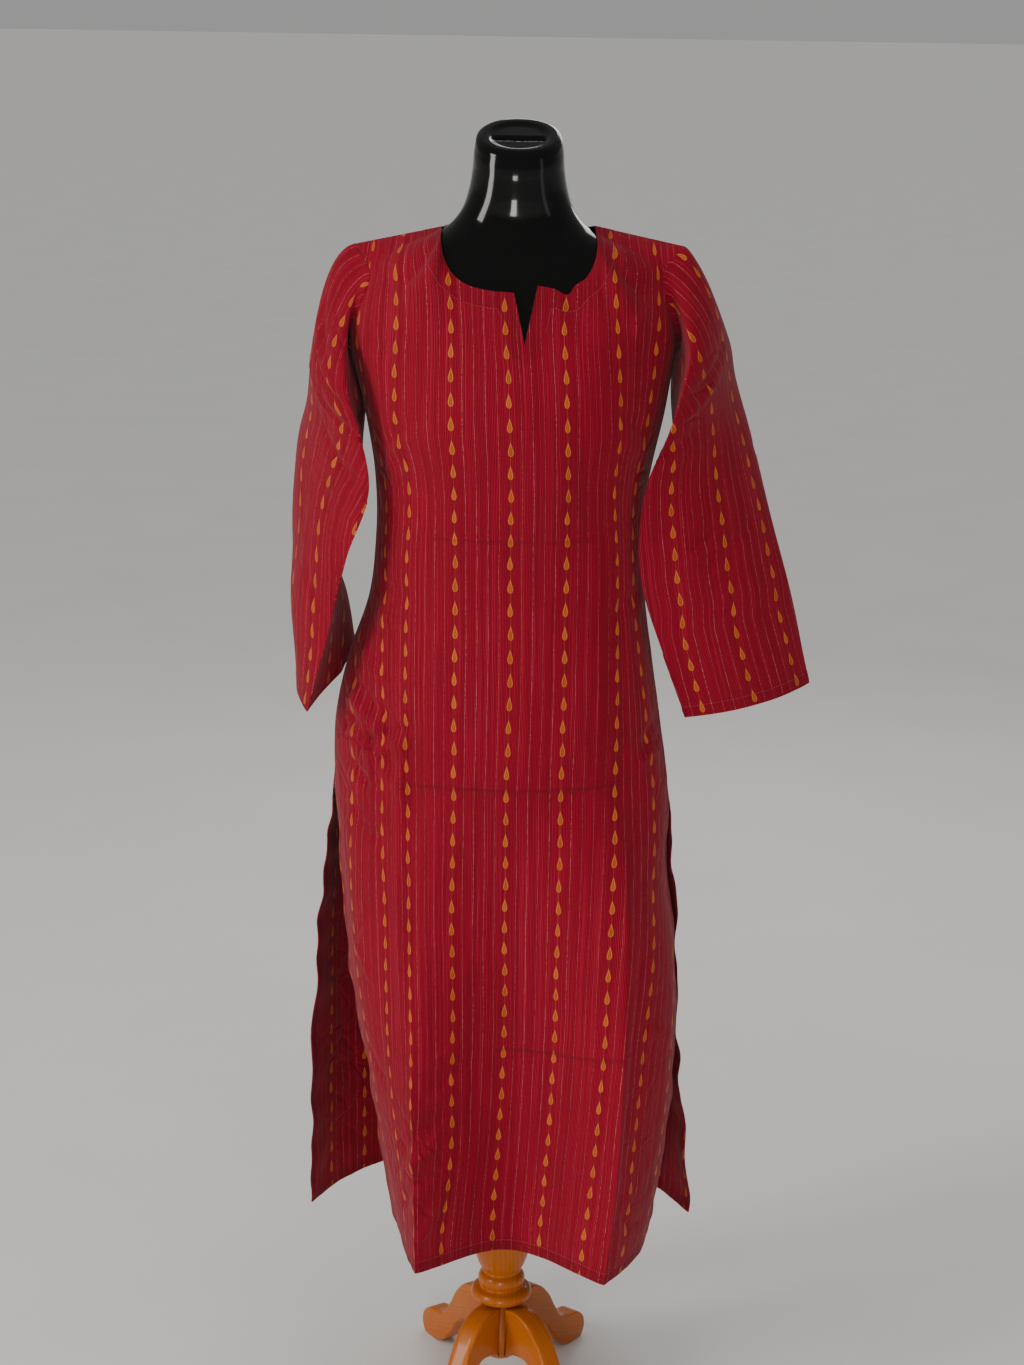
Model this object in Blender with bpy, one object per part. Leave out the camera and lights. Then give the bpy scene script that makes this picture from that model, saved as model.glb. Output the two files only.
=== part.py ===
# Kurta tunic worn by a limbless dress form on a turned wooden stand.
# Metres, +Z up. The wearer's right sleeve hangs at -X, the front faces -Y.
# Every shape is worked out about the stand's axis, then the whole is moved so that
# the middle of its footprint stands on the origin.

import math

import bmesh
import bpy
import numpy as np
from mathutils import Vector
from mathutils.bvhtree import BVHTree

# Heights of the kurta above the floor
HEM_Z = 0.235
SLIT_TOP_Z = 0.790
CHEST_Z = 1.285

# Cloth and seams
CLOTH_THICKNESS = 0.0015
SEAM_GAP = 0.0003
SEAM_CREST = 0.004
CLOTH_OFF_FORM = 0.0010
TORSO_SQUARENESS = 2.2
LAYING_ROUNDS = 12
NORMAL_SOFTENING = 2

# Rows and columns of the cloth walls, the column that ends in the neck slit, how the yoke
# turns over the shoulder, and how the sleeve's cap leaves its seam
SKIRT_ROWS = 11
BODY_ROWS = 12
YOKE_ROWS = 10
COLUMNS_PER_STRETCH = {"front": 5, "back": 4}
SHOULDER_COLUMNS = {"front": 7, "back": 6}
SLIT_COLUMN = 15
SLIT_LEAN = {"stretches": 0.080, "columns": 3.0, "from_z": 1.05}
ARMHOLE_REACH = 1.5
YOKE_TURN = {"from_z": 1.345, "over": 0.055, "lean": 0.25, "lay": 0.65}
SLEEVE_CAP = {"top_pull": 0.055, "under_pull": 0.022, "spread": 0.016, "drop": 0.016, "arrival": 1.1}
SHOULDER_DROP = 0.2
CHEST_STEP = 0.02
CAP_ROWS = 5
SLEEVE_ROWS = 10

# Shoulder seam, from the neck point to the top of the armhole
NECK_POINT = {"left": (-0.083, 0.005, 1.408), "right": (0.085, 0.005, 1.411)}
SHOULDER_TIP = {"left": (-0.175, 0.0, 1.389), "right": (0.178, 0.0, 1.392)}

# Dress form and stand
FORM_BASE_Z = 0.700
FORM_SIDES = 28
NECK_CAP_Z = 1.507
NECK_CAP_TILT = 0.38
POST_SIDES = 20
COLUMN_RADIUS = 0.021
LEG_THICKNESS = 0.026
LEG_ANGLES = {"leg_front_left": -33.0, "leg_front_right": 40.0,
              "leg_back_right": 143.0, "leg_back_left": -146.0}

# Where the stand's axis is, so that the footprint's middle is on the origin
STAND_AXIS = (-0.046, 0.013, 0.0)

# The body of the kurta by height: half widths to each side, depth to front and back
BODY_SECTIONS = [
    {"z": 0.790, "left": 0.201, "right": 0.181, "front": 0.122, "back": 0.128},
    {"z": 0.860, "left": 0.199, "right": 0.171, "front": 0.118, "back": 0.124},
    {"z": 0.930, "left": 0.184, "right": 0.160, "front": 0.110, "back": 0.112},
    {"z": 1.000, "left": 0.161, "right": 0.150, "front": 0.102, "back": 0.096},
    {"z": 1.060, "left": 0.154, "right": 0.147, "front": 0.100, "back": 0.090},
    {"z": 1.120, "left": 0.153, "right": 0.149, "front": 0.110, "back": 0.094},
    {"z": 1.200, "left": 0.164, "right": 0.163, "front": 0.121, "back": 0.100},
    {"z": 1.285, "left": 0.184, "right": 0.176, "front": 0.107, "back": 0.100},
]

# Where the seven key points of a body section lie, as angles from the left side seam
KEY_ANGLES = {"front": (0.0, 30.0, 60.0, 90.0, 133.0, 157.0, 180.0),
              "back": (0.0, 30.0, 60.0, 90.0, 120.0, 150.0, 180.0)}
PHANTOM_ANGLE = 25.0

# The skirt below the slits, left to right: x and y of the edge, facet, fold and centre
FRONT_SKIRT = [
    {"z": 0.235, "edge_l": (-0.130, -0.010), "side_l": (-0.118, -0.080), "fold_l": (-0.099, -0.160),
     "centre": (0.004, -0.098),
     "fold_r": (0.117, -0.180), "side_r": (0.160, -0.105), "edge_r": (0.180, -0.006)},
    {"z": 0.330, "edge_l": (-0.149, -0.010), "side_l": (-0.131, -0.085), "fold_l": (-0.102, -0.156),
     "centre": (0.004, -0.101),
     "fold_r": (0.127, -0.170), "side_r": (0.177, -0.095), "edge_r": (0.193, -0.005)},
    {"z": 0.440, "edge_l": (-0.166, -0.008), "side_l": (-0.148, -0.086), "fold_l": (-0.105, -0.149),
     "centre": (0.004, -0.106),
     "fold_r": (0.132, -0.159), "side_r": (0.188, -0.090), "edge_r": (0.200, -0.004)},
    {"z": 0.560, "edge_l": (-0.186, -0.006), "side_l": (-0.163, -0.085), "fold_l": (-0.104, -0.138),
     "centre": (0.003, -0.112),
     "fold_r": (0.135, -0.144), "side_r": (0.187, -0.084), "edge_r": (0.198, -0.003)},
    {"z": 0.680, "edge_l": (-0.196, -0.004), "side_l": (-0.172, -0.078), "fold_l": (-0.104, -0.124),
     "centre": (0.002, -0.118),
     "fold_r": (0.136, -0.121), "side_r": (0.172, -0.072), "edge_r": (0.186, -0.002)},
]
BACK_SKIRT = [
    {"z": 0.235, "edge_l": (-0.233, 0.014), "side_l": (-0.194, 0.085), "fold_l": (-0.138, 0.137),
     "centre": (0.000, 0.122),
     "fold_r": (0.132, 0.152), "side_r": (0.195, 0.098), "edge_r": (0.225, 0.022)},
    {"z": 0.330, "edge_l": (-0.233, 0.018), "side_l": (-0.196, 0.090), "fold_l": (-0.134, 0.142),
     "centre": (0.000, 0.132),
     "fold_r": (0.130, 0.149), "side_r": (0.192, 0.095), "edge_r": (0.218, 0.020)},
    {"z": 0.440, "edge_l": (-0.229, 0.016), "side_l": (-0.197, 0.088), "fold_l": (-0.130, 0.142),
     "centre": (0.000, 0.141),
     "fold_r": (0.126, 0.145), "side_r": (0.186, 0.090), "edge_r": (0.210, 0.016)},
    {"z": 0.560, "edge_l": (-0.223, 0.012), "side_l": (-0.194, 0.083), "fold_l": (-0.124, 0.137),
     "centre": (0.000, 0.147),
     "fold_r": (0.120, 0.140), "side_r": (0.178, 0.084), "edge_r": (0.200, 0.012)},
    {"z": 0.680, "edge_l": (-0.215, 0.007), "side_l": (-0.189, 0.076), "fold_l": (-0.116, 0.130),
     "centre": (0.000, 0.143),
     "fold_r": (0.108, 0.132), "side_r": (0.167, 0.076), "edge_r": (0.190, 0.007)},
]
KEYS = ("edge_l", "side_l", "fold_l", "centre", "fold_r", "side_r", "edge_r")

# Armhole: how far it cuts into a panel, in stretches of the section, on the way up
ARMHOLE_CUT = [
    {"up": 0.00, "front": 0.00, "back": 0.00}, {"up": 0.12, "front": 0.36, "back": 0.32},
    {"up": 0.30, "front": 0.62, "back": 0.52}, {"up": 0.45, "front": 0.60, "back": 0.50},
    {"up": 0.60, "front": 0.46, "back": 0.38}, {"up": 0.75, "front": 0.22, "back": 0.18},
    {"up": 0.88, "front": 0.05, "back": 0.04}, {"up": 1.00, "front": 0.00, "back": 0.00},
]

# Front neckline between the neck points: a round neck with a narrow slit at its centre
FRONT_NECK = [
    {"x": -0.0830, "y": -0.0260, "z": 1.4038}, {"x": -0.0817, "y": -0.0440, "z": 1.3940},
    {"x": -0.0780, "y": -0.0570, "z": 1.3790}, {"x": -0.0690, "y": -0.0665, "z": 1.3645},
    {"x": -0.0530, "y": -0.0735, "z": 1.3535}, {"x": -0.0290, "y": -0.0790, "z": 1.3482},
    {"x": -0.0030, "y": -0.0805, "z": 1.3465}, {"x": 0.0092, "y": -0.0990, "z": 1.2935},
    {"x": 0.0225, "y": -0.0780, "z": 1.3540}, {"x": 0.0400, "y": -0.0770, "z": 1.3507},
    {"x": 0.0540, "y": -0.0755, "z": 1.3448}, {"x": 0.0625, "y": -0.0710, "z": 1.3545},
    {"x": 0.0745, "y": -0.0645, "z": 1.3625}, {"x": 0.0835, "y": -0.0530, "z": 1.3790},
    {"x": 0.0860, "y": -0.0350, "z": 1.3965},
]
BACK_NECK_DEPTH = {"centre_y": 0.059, "centre_z": 1.391}

# Sleeves as flattened tubes by row: centre, half of the flat width, thickness towards the
# body and away from it, turn of the front edge towards the body, and rise of the back edge
SLEEVE_SECTIONS = {
    "left": [
        {"x": -0.211, "y": 0.002, "z": 1.225, "wide": 0.084, "inside": 0.021, "outside": 0.021,
         "turn": 3, "rise": 0.00},
        {"x": -0.200, "y": -0.006, "z": 1.135, "wide": 0.084, "inside": 0.018, "outside": 0.020,
         "turn": 31, "rise": 0.01},
        {"x": -0.215, "y": -0.004, "z": 1.055, "wide": 0.081, "inside": 0.015, "outside": 0.020,
         "turn": 14, "rise": 0.04},
        {"x": -0.218, "y": 0.000, "z": 0.985, "wide": 0.077, "inside": 0.016, "outside": 0.024,
         "turn": -5, "rise": 0.15},
        {"x": -0.216, "y": 0.002, "z": 0.905, "wide": 0.070, "inside": 0.012, "outside": 0.030,
         "turn": -14, "rise": 0.40},
    ],
    "right": [
        {"x": 0.218, "y": 0.002, "z": 1.265, "wide": 0.082, "inside": 0.021, "outside": 0.020,
         "turn": 8, "rise": 0.00},
        {"x": 0.220, "y": 0.000, "z": 1.205, "wide": 0.085, "inside": 0.020, "outside": 0.020,
         "turn": 22, "rise": 0.00},
        {"x": 0.214, "y": -0.012, "z": 1.135, "wide": 0.088, "inside": 0.020, "outside": 0.021,
         "turn": 46, "rise": 0.00},
        {"x": 0.2225, "y": -0.020, "z": 1.050, "wide": 0.090, "inside": 0.020, "outside": 0.022,
         "turn": 66, "rise": 0.06},
        {"x": 0.2465, "y": -0.020, "z": 0.960, "wide": 0.084, "inside": 0.019, "outside": 0.022,
         "turn": 69, "rise": 0.13},
        {"x": 0.2695, "y": -0.016, "z": 0.885, "wide": 0.0765, "inside": 0.018, "outside": 0.022,
         "turn": 70, "rise": 0.19},
    ],
}
# How far down the front armhole the sleeve's front edge starts, as a share of its length
FRONT_EDGE_START = {"left": 0.60, "right": 0.42}

# Dress form by height: half width, depth to front and back, and forward tilt of the ring
FORM_SECTIONS = [
    {"z": 0.700, "half": 0.150, "front": 0.094, "back": 0.100, "tilt": 0.0},
    {"z": 0.712, "half": 0.162, "front": 0.104, "back": 0.110, "tilt": 0.0},
    {"z": 0.800, "half": 0.170, "front": 0.110, "back": 0.116, "tilt": 0.0},
    {"z": 0.890, "half": 0.163, "front": 0.104, "back": 0.110, "tilt": 0.0},
    {"z": 0.960, "half": 0.146, "front": 0.094, "back": 0.092, "tilt": 0.0},
    {"z": 1.040, "half": 0.134, "front": 0.088, "back": 0.079, "tilt": 0.0},
    {"z": 1.120, "half": 0.138, "front": 0.097, "back": 0.082, "tilt": 0.0},
    {"z": 1.200, "half": 0.149, "front": 0.108, "back": 0.088, "tilt": 0.0},
    {"z": 1.260, "half": 0.158, "front": 0.101, "back": 0.088, "tilt": 0.0},
    {"z": 1.310, "half": 0.161, "front": 0.088, "back": 0.081, "tilt": 0.0},
    {"z": 1.345, "half": 0.161, "front": 0.076, "back": 0.070, "tilt": 0.0},
    {"z": 1.368, "half": 0.155, "front": 0.066, "back": 0.062, "tilt": 0.0},
    {"z": 1.382, "half": 0.138, "front": 0.059, "back": 0.057, "tilt": 0.0},
    {"z": 1.392, "half": 0.114, "front": 0.056, "back": 0.055, "tilt": 0.0},
    {"z": 1.401, "half": 0.091, "front": 0.053, "back": 0.053, "tilt": 0.0},
    {"z": 1.412, "half": 0.0735, "front": 0.050, "back": 0.051, "tilt": 0.04},
    {"z": 1.426, "half": 0.0620, "front": 0.048, "back": 0.050, "tilt": 0.09},
    {"z": 1.448, "half": 0.0540, "front": 0.048, "back": 0.049, "tilt": 0.18},
    {"z": 1.472, "half": 0.0500, "front": 0.047, "back": 0.048, "tilt": 0.30},
    {"z": 1.494, "half": 0.0480, "front": 0.046, "back": 0.047, "tilt": NECK_CAP_TILT},
    {"z": 1.504, "half": 0.0455, "front": 0.044, "back": 0.045, "tilt": NECK_CAP_TILT},
    {"z": NECK_CAP_Z, "half": 0.0410, "front": 0.040, "back": 0.041, "tilt": NECK_CAP_TILT},
]

# Turned post, top to bottom
POST_PROFILE = [
    {"z": FORM_BASE_Z - SEAM_GAP, "radius": 0.056}, {"z": 0.684, "radius": 0.056},
    {"z": 0.680, "radius": 0.026}, {"z": 0.460, "radius": 0.022}, {"z": 0.452, "radius": 0.030},
    {"z": 0.438, "radius": 0.030}, {"z": 0.430, "radius": 0.023}, {"z": 0.350, "radius": 0.033},
    {"z": 0.280, "radius": 0.039}, {"z": 0.225, "radius": 0.0375}, {"z": 0.186, "radius": 0.0335},
    {"z": 0.166, "radius": 0.0272}, {"z": 0.157, "radius": 0.0225}, {"z": 0.152, "radius": 0.0270},
    {"z": 0.145, "radius": 0.0284}, {"z": 0.138, "radius": 0.0262}, {"z": 0.134, "radius": 0.0345},
    {"z": 0.129, "radius": 0.0370}, {"z": 0.124, "radius": 0.0355}, {"z": 0.120, "radius": COLUMN_RADIUS},
    {"z": 0.048, "radius": COLUMN_RADIUS}, {"z": 0.044, "radius": 0.017},
]

# Outline of a leg seen from the side: distance out from the axis and height
LEG_OUTLINE = [
    {"out": COLUMN_RADIUS + SEAM_GAP, "z": 0.052}, {"out": COLUMN_RADIUS + SEAM_GAP, "z": 0.116},
    {"out": 0.042, "z": 0.118}, {"out": 0.062, "z": 0.112}, {"out": 0.082, "z": 0.094},
    {"out": 0.098, "z": 0.068}, {"out": 0.112, "z": 0.049}, {"out": 0.130, "z": 0.042},
    {"out": 0.148, "z": 0.038}, {"out": 0.160, "z": 0.027}, {"out": 0.162, "z": 0.013},
    {"out": 0.154, "z": 0.000}, {"out": 0.132, "z": 0.000}, {"out": 0.114, "z": 0.008},
    {"out": 0.096, "z": 0.026}, {"out": 0.078, "z": 0.050}, {"out": 0.060, "z": 0.062},
    {"out": 0.040, "z": 0.060},
]


def curve_through(places, values, wanted):
    """Smooth curve through values at the given places, read at the wanted places."""
    places = np.asarray(places, float)
    values = np.asarray(values, float)
    slopes = np.empty_like(values)
    steps = np.diff(places)
    rates = np.diff(values, axis=0) / steps[:, None]
    slopes[0] = rates[0]
    slopes[-1] = rates[-1]
    near = steps[:-1, None]
    far = steps[1:, None]
    slopes[1:-1] = (rates[:-1] * far + rates[1:] * near) / (near + far)
    found = []
    for place in np.atleast_1d(wanted):
        k = int(np.clip(np.searchsorted(places, place) - 1, 0, len(places) - 2))
        step = steps[k]
        t = (place - places[k]) / step
        found.append(values[k] * (1 + 2 * t) * (1 - t) ** 2 + slopes[k] * step * t * (1 - t) ** 2
                     + values[k + 1] * t * t * (3 - 2 * t) + slopes[k + 1] * step * t * t * (t - 1))
    return np.array(found)


def eased(start, start_pull, end, end_pull, t):
    """Point at t on the cubic that leaves start along start_pull and reaches end along end_pull."""
    return (start * (1 + 2 * t) * (1 - t) ** 2 + start_pull * t * (1 - t) ** 2
            + end * t * t * (3 - 2 * t) + end_pull * t * t * (t - 1))


def unit(vector):
    return vector / max(np.linalg.norm(vector), 1e-12)


def superellipse_point(angle, left, right, depth):
    """Point of a body section, angle in degrees from the left side round the given depth."""
    power = 2.0 / TORSO_SQUARENESS
    cosine = math.cos(math.radians(angle))
    sine = math.sin(math.radians(angle))
    half = left if cosine > 0 else right
    return (-half * math.copysign(abs(cosine) ** power, cosine),
            depth * math.copysign(abs(sine) ** power, sine))


def panel_key_rows(side):
    """Heights and key points of a panel from hem to chest, with one more point past each edge."""
    sign = -1.0 if side == "front" else 1.0
    heights = []
    rows = []
    for section in (FRONT_SKIRT if side == "front" else BACK_SKIRT):
        points = [section[key] for key in KEYS]
        before = tuple(2 * points[0][k] - points[1][k] for k in range(2))
        after = tuple(2 * points[-1][k] - points[-2][k] for k in range(2))
        heights.append(section["z"])
        rows.append([before] + points + [after])
    angles = (-PHANTOM_ANGLE,) + KEY_ANGLES[side] + (180.0 + PHANTOM_ANGLE,)
    for section in BODY_SECTIONS:
        heights.append(section["z"])
        rows.append([superellipse_point(angle, section["left"], section["right"], sign * section[side])
                     for angle in angles])
    return np.array(heights), np.array(rows)


def across(key_points, stretches):
    """Read a section at places given in stretches between its key points."""
    chords = np.linalg.norm(np.diff(key_points, axis=0), axis=1)
    knots = np.concatenate([[0.0], np.cumsum(chords)])
    whole = np.minimum(stretches.astype(int), len(KEYS) - 2)
    at = knots[whole + 1] + (stretches - whole) * (knots[whole + 2] - knots[whole + 1])
    return curve_through(knots, key_points, at)


def section_points(side, level, stretches):
    """Points of one section of a panel at a height, read at places given in stretches."""
    heights, keys = panel_key_rows(side)
    key_points = curve_through(heights, keys.reshape(len(keys), -1), [level]).reshape(-1, 2)
    plan = across(key_points, stretches)
    return np.column_stack([plan, np.full(len(plan), level)])


def lower_panel(side):
    """Grid of points from hem to chest, as an array of rows by columns by xyz."""
    levels = np.concatenate([np.linspace(HEM_Z, SLIT_TOP_Z, SKIRT_ROWS + 1),
                             np.linspace(SLIT_TOP_Z, CHEST_Z, BODY_ROWS + 1)[1:]])
    return np.array([section_points(side, level, column_stretches(side, level)) for level in levels])


def column_stretches(side, level):
    """Where each column of a panel runs at a height; the front's middle ones lean to the neck slit."""
    column = np.arange(panel_columns(side) + 1)
    stretches = column / COLUMNS_PER_STRETCH[side]
    if side == "front":
        climb = np.clip((level - SLIT_LEAN["from_z"]) / (CHEST_Z - SLIT_LEAN["from_z"]), 0.0, 1.0)
        near = np.exp(-((column - SLIT_COLUMN) / SLIT_LEAN["columns"]) ** 2)
        stretches = stretches + SLIT_LEAN["stretches"] * climb * climb * (3 - 2 * climb) * near
    return stretches


def panel_columns(side):
    return COLUMNS_PER_STRETCH[side] * (len(KEYS) - 1)


def neck_edge(side, count):
    """Top edge of a panel between the two neck points."""
    left = np.array(NECK_POINT["left"])
    right = np.array(NECK_POINT["right"])
    if side == "front":
        points = [left] + [np.array([row["x"], row["y"], row["z"]]) for row in FRONT_NECK] + [right]
        return np.array(points)
    edge = []
    for t in np.linspace(0.0, 1.0, count + 1):
        dip = math.sin(math.pi * t) ** 0.8
        point = left + (right - left) * t
        point[1] += dip * (BACK_NECK_DEPTH["centre_y"] - point[1])
        point[2] += dip ** 1.5 * (BACK_NECK_DEPTH["centre_z"] - point[2])
        edge.append(point)
    return np.array(edge)


def top_edge(side):
    """Shoulder seam, neckline and shoulder seam, one point for each column."""
    shoulder = SHOULDER_COLUMNS[side]
    neck = neck_edge(side, panel_columns(side) - 2 * shoulder)
    rise = np.linspace(0.0, 1.0, shoulder + 1)[:-1, None]
    left = np.array(SHOULDER_TIP["left"]) * (1 - rise) + np.array(NECK_POINT["left"]) * rise
    right = np.array(SHOULDER_TIP["right"]) * (1 - rise) + np.array(NECK_POINT["right"]) * rise
    return np.concatenate([left, neck, right[::-1]])


def yoke(side):
    """Rows above the chest, whose columns rise to shoulder and neck and give way to the armholes."""
    backwards = 1.0 if side == "front" else -1.0
    top = top_edge(side)
    column = np.arange(panel_columns(side) + 1)
    give = np.clip(1.0 - column / (ARMHOLE_REACH * SHOULDER_COLUMNS[side]), 0.0, 1.0)
    heights = [row["up"] for row in ARMHOLE_CUT]
    cuts = [[row[side]] for row in ARMHOLE_CUT]
    rows = []
    for i in range(1, YOKE_ROWS + 1):
        t = i / YOKE_ROWS
        cut = float(curve_through(heights, cuts, [t])[0, 0])
        stretches = column_stretches(side, CHEST_Z) + cut * (give - give[::-1])
        chest = section_points(side, CHEST_Z, stretches)
        rise = unit_rows(chest - section_points(side, CHEST_Z - CHEST_STEP, stretches))
        places = column + cut * COLUMNS_PER_STRETCH[side] * (give - give[::-1])
        end = np.column_stack([np.interp(places, column, top[:, k]) for k in range(3)])
        length = np.linalg.norm(end - chest, axis=1, keepdims=True)
        over = np.clip((end[:, 2] - YOKE_TURN["from_z"]) / YOKE_TURN["over"], 0.0, 1.0)
        back = backwards * (YOKE_TURN["lean"] + (1.0 - YOKE_TURN["lean"]) * over)
        lean = unit_rows(np.column_stack([0 * over, back, 1.0 - YOKE_TURN["lay"] * over]))
        rows.append(eased(chest, rise * length, end, lean * length, t))
    rows = np.array(rows)
    if side == "front":
        level_slit_column(rows)
    return rows


def level_slit_column(rows):
    """Lay the column that ends at the foot of the neck slit between its neighbours."""
    left, slit, right = (rows[:, SLIT_COLUMN + k] for k in (-1, 0, 1))
    share = (slit[:, 0] - left[:, 0]) / (right[:, 0] - left[:, 0])
    at_left = np.interp(slit[:, 2], left[:, 2], left[:, 1])
    at_right = np.interp(slit[:, 2], right[:, 2], right[:, 1])
    slit[:, 1] = at_left * (1 - share) + at_right * share


def unit_rows(vectors):
    return vectors / np.maximum(np.linalg.norm(vectors, axis=-1, keepdims=True), 1e-12)


def panel_normals(grid, sign):
    """Unit normals of a panel, facing away from the wearer: sign is -1 for the front, 1 for the back."""
    normals = unit_rows(np.cross(np.gradient(grid, axis=1), np.gradient(grid, axis=0)))
    normals *= np.sign(normals[0, normals.shape[1] // 2, 1]) * sign
    for _ in range(NORMAL_SOFTENING):
        padded = np.pad(normals, ((1, 1), (1, 1), (0, 0)), mode="edge")
        normals = unit_rows(2 * normals + padded[2:, 1:-1] + padded[:-2, 1:-1]
                            + padded[1:-1, 2:] + padded[1:-1, :-2])
    if sign < 0:
        chest = SKIRT_ROWS + BODY_ROWS
        normals[chest:, SLIT_COLUMN] = normals[chest, SLIT_COLUMN]
    return normals


def tube_normals(grid):
    """Unit normals of a tube's rings, turned outwards as they are at its last ring."""
    sideways = np.roll(grid, -1, axis=1) - np.roll(grid, 1, axis=1)
    normals = unit_rows(np.cross(sideways, np.gradient(grid, axis=0)))
    return normals * np.sign(np.sum(normals[-1] * (grid[-1] - grid[-1].mean(axis=0))))


def wall_object(name, outer, inner, material, wrapped=False):
    """Closed wall between two grids of points, open at its edges or wrapped round as a tube."""
    rows, columns = outer.shape[:2]
    points = np.concatenate([outer.reshape(-1, 3), inner.reshape(-1, 3)])
    shift = rows * columns
    faces = []
    across_count = columns if wrapped else columns - 1
    for i in range(rows - 1):
        for j in range(across_count):
            k = (j + 1) % columns
            a, b, c, d = (i * columns + j, i * columns + k, (i + 1) * columns + k, (i + 1) * columns + j)
            for corner in ((a, b, c), (a, c, d)):
                faces.append(corner)
                faces.append(tuple(shift + index for index in reversed(corner)))
    for i in (0, rows - 1):
        for j in range(across_count):
            k = (j + 1) % columns
            faces.append((i * columns + j, i * columns + k, shift + i * columns + k, shift + i * columns + j))
    if not wrapped:
        for j in (0, columns - 1):
            for i in range(rows - 1):
                faces.append((i * columns + j, (i + 1) * columns + j,
                              shift + (i + 1) * columns + j, shift + i * columns + j))
    return finished_object(name, points, faces, material)


def finished_object(name, points, faces, material):
    """Mesh object standing on the stand's axis, with its faces turned outwards."""
    mesh = bpy.data.meshes.new(name)
    mesh.from_pydata([tuple(point) for point in points], [], faces)
    shape = bmesh.new()
    shape.from_mesh(mesh)
    bmesh.ops.recalc_face_normals(shape, faces=shape.faces)
    shape.to_mesh(mesh)
    shape.free()
    mesh.materials.append(material)
    mesh.shade_smooth()
    obj = bpy.data.objects.new(name, mesh)
    obj.location = STAND_AXIS
    bpy.context.scene.collection.objects.link(obj)
    return obj


def plain_material(name, colour, roughness, coat=0.0):
    material = bpy.data.materials.new(name)
    material.use_nodes = True
    shader = material.node_tree.nodes["Principled BSDF"]
    shader.inputs["Base Color"].default_value = (*colour, 1.0)
    shader.inputs["Roughness"].default_value = roughness
    shader.inputs["Coat Weight"].default_value = coat
    return material


def ring_of(section, sides):
    """Ring of a turned or moulded section, from the left side round the front."""
    ring = []
    for k in range(sides):
        angle = 360.0 * k / sides
        depth = -section["front"] if angle < 180.0 else -section["back"]
        x, y = superellipse_point(angle, section["half"], section["half"], depth)
        ring.append((x, y, section["z"] + section["tilt"] * y))
    return ring


def round_ring(row, sides):
    turns = [2 * math.pi * k / sides for k in range(sides)]
    return [(row["radius"] * math.cos(turn), row["radius"] * math.sin(turn), row["z"]) for turn in turns]


def stacked_rings(name, rings, material):
    """Closed solid through rings stacked one over the other, capped at both ends."""
    sides = len(rings[0])
    points = [point for ring in rings for point in ring]
    faces = []
    for i in range(len(rings) - 1):
        for j in range(sides):
            k = (j + 1) % sides
            faces.append((i * sides + j, i * sides + k, (i + 1) * sides + k, (i + 1) * sides + j))
    for first in (0, (len(rings) - 1) * sides):
        points.append(tuple(np.mean(rings[0 if first == 0 else -1], axis=0)))
        faces += [(first + j, first + (j + 1) % sides, len(points) - 1) for j in range(sides)]
    return finished_object(name, points, faces, material)


def laid_on_form(grid, form_tree):
    """Move cloth that would touch the form out, until corners and facets stand off it by wall and gap."""
    clearance = CLOTH_OFF_FORM + CLOTH_THICKNESS
    laid = grid.copy()
    for _ in range(LAYING_ROUNDS):
        push = np.zeros_like(laid)
        for i, j in np.ndindex(laid.shape[0] - 1, laid.shape[1] - 1):
            corners = [(i, j), (i, j + 1), (i + 1, j), (i + 1, j + 1)]
            for group in (corners[:1], corners[1:2], corners[2:3], corners[3:],
                          corners[:2], corners[2:], corners[::2], corners[1::2], corners[::3], corners):
                spot = Vector(np.mean([laid[corner] for corner in group], axis=0))
                seat, normal, _, _ = form_tree.find_nearest(spot)
                short = clearance - float((spot - seat).dot(normal))
                for corner in group:
                    if short > np.linalg.norm(push[corner]):
                        push[corner] = np.array(normal) * short
        laid += push
        if not push.any():
            break
    return laid


def kurta_panel(side, form_tree):
    """Grid and normals of the front or back panel, hem at row 0."""
    sign = -1.0 if side == "front" else 1.0
    lower = lower_panel(side)
    grid = np.concatenate([lower, yoke(side)])
    grid = laid_on_form(grid, form_tree)
    normals = panel_normals(grid, sign)
    for column in (0, -1):
        normals[SKIRT_ROWS:lower.shape[0], column, 1] = 0.0
        grid[SKIRT_ROWS:lower.shape[0], column, 1] = sign * SEAM_GAP / 2
        normals[-1, column, 1] = 0.0
    for column in range(SHOULDER_COLUMNS[side] + 1):
        for place in (column, -1 - column):
            normals[-1, place, 1] = 0.0
            grid[-1, place, 1] += sign * SEAM_GAP / 2
    return grid, unit_rows(normals)


def armhole_loop(front, back, hand):
    """Sleeve seam as a loop from shoulder tip down the front and up the back, with its directions."""
    column = 0 if hand == "left" else -1
    first = SKIRT_ROWS + BODY_ROWS
    points = []
    normals = []
    inwards = []
    for grid, facing, order in ((front[0], front[1], range(first + YOKE_ROWS, first - 1, -1)),
                                (back[0], back[1], range(first + 1, first + YOKE_ROWS))):
        step = 1 if hand == "left" else -1
        for i in order:
            points.append(grid[i, column])
            normals.append(facing[i, column])
            inwards.append(grid[i, column + step] - grid[i, column])
    points = np.array(points)
    normals = np.array(normals)
    points[0, 1] = 0.0
    points[YOKE_ROWS, 1] = 0.0
    along = unit_rows(np.roll(points, -1, axis=0) - np.roll(points, 1, axis=0))
    along[0] = along[YOKE_ROWS] = (0.0, 1.0, 0.0)
    away = unit_rows(np.cross(along, normals))
    away *= -np.sign(np.sum(away * np.array(inwards), axis=1, keepdims=True))
    side = -1.0 if hand == "left" else 1.0
    away[YOKE_ROWS] = (0.0, 0.0, 1.0)
    away[0] = unit(np.array([side, 0.0, -SHOULDER_DROP]))
    return points, normals, away


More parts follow.
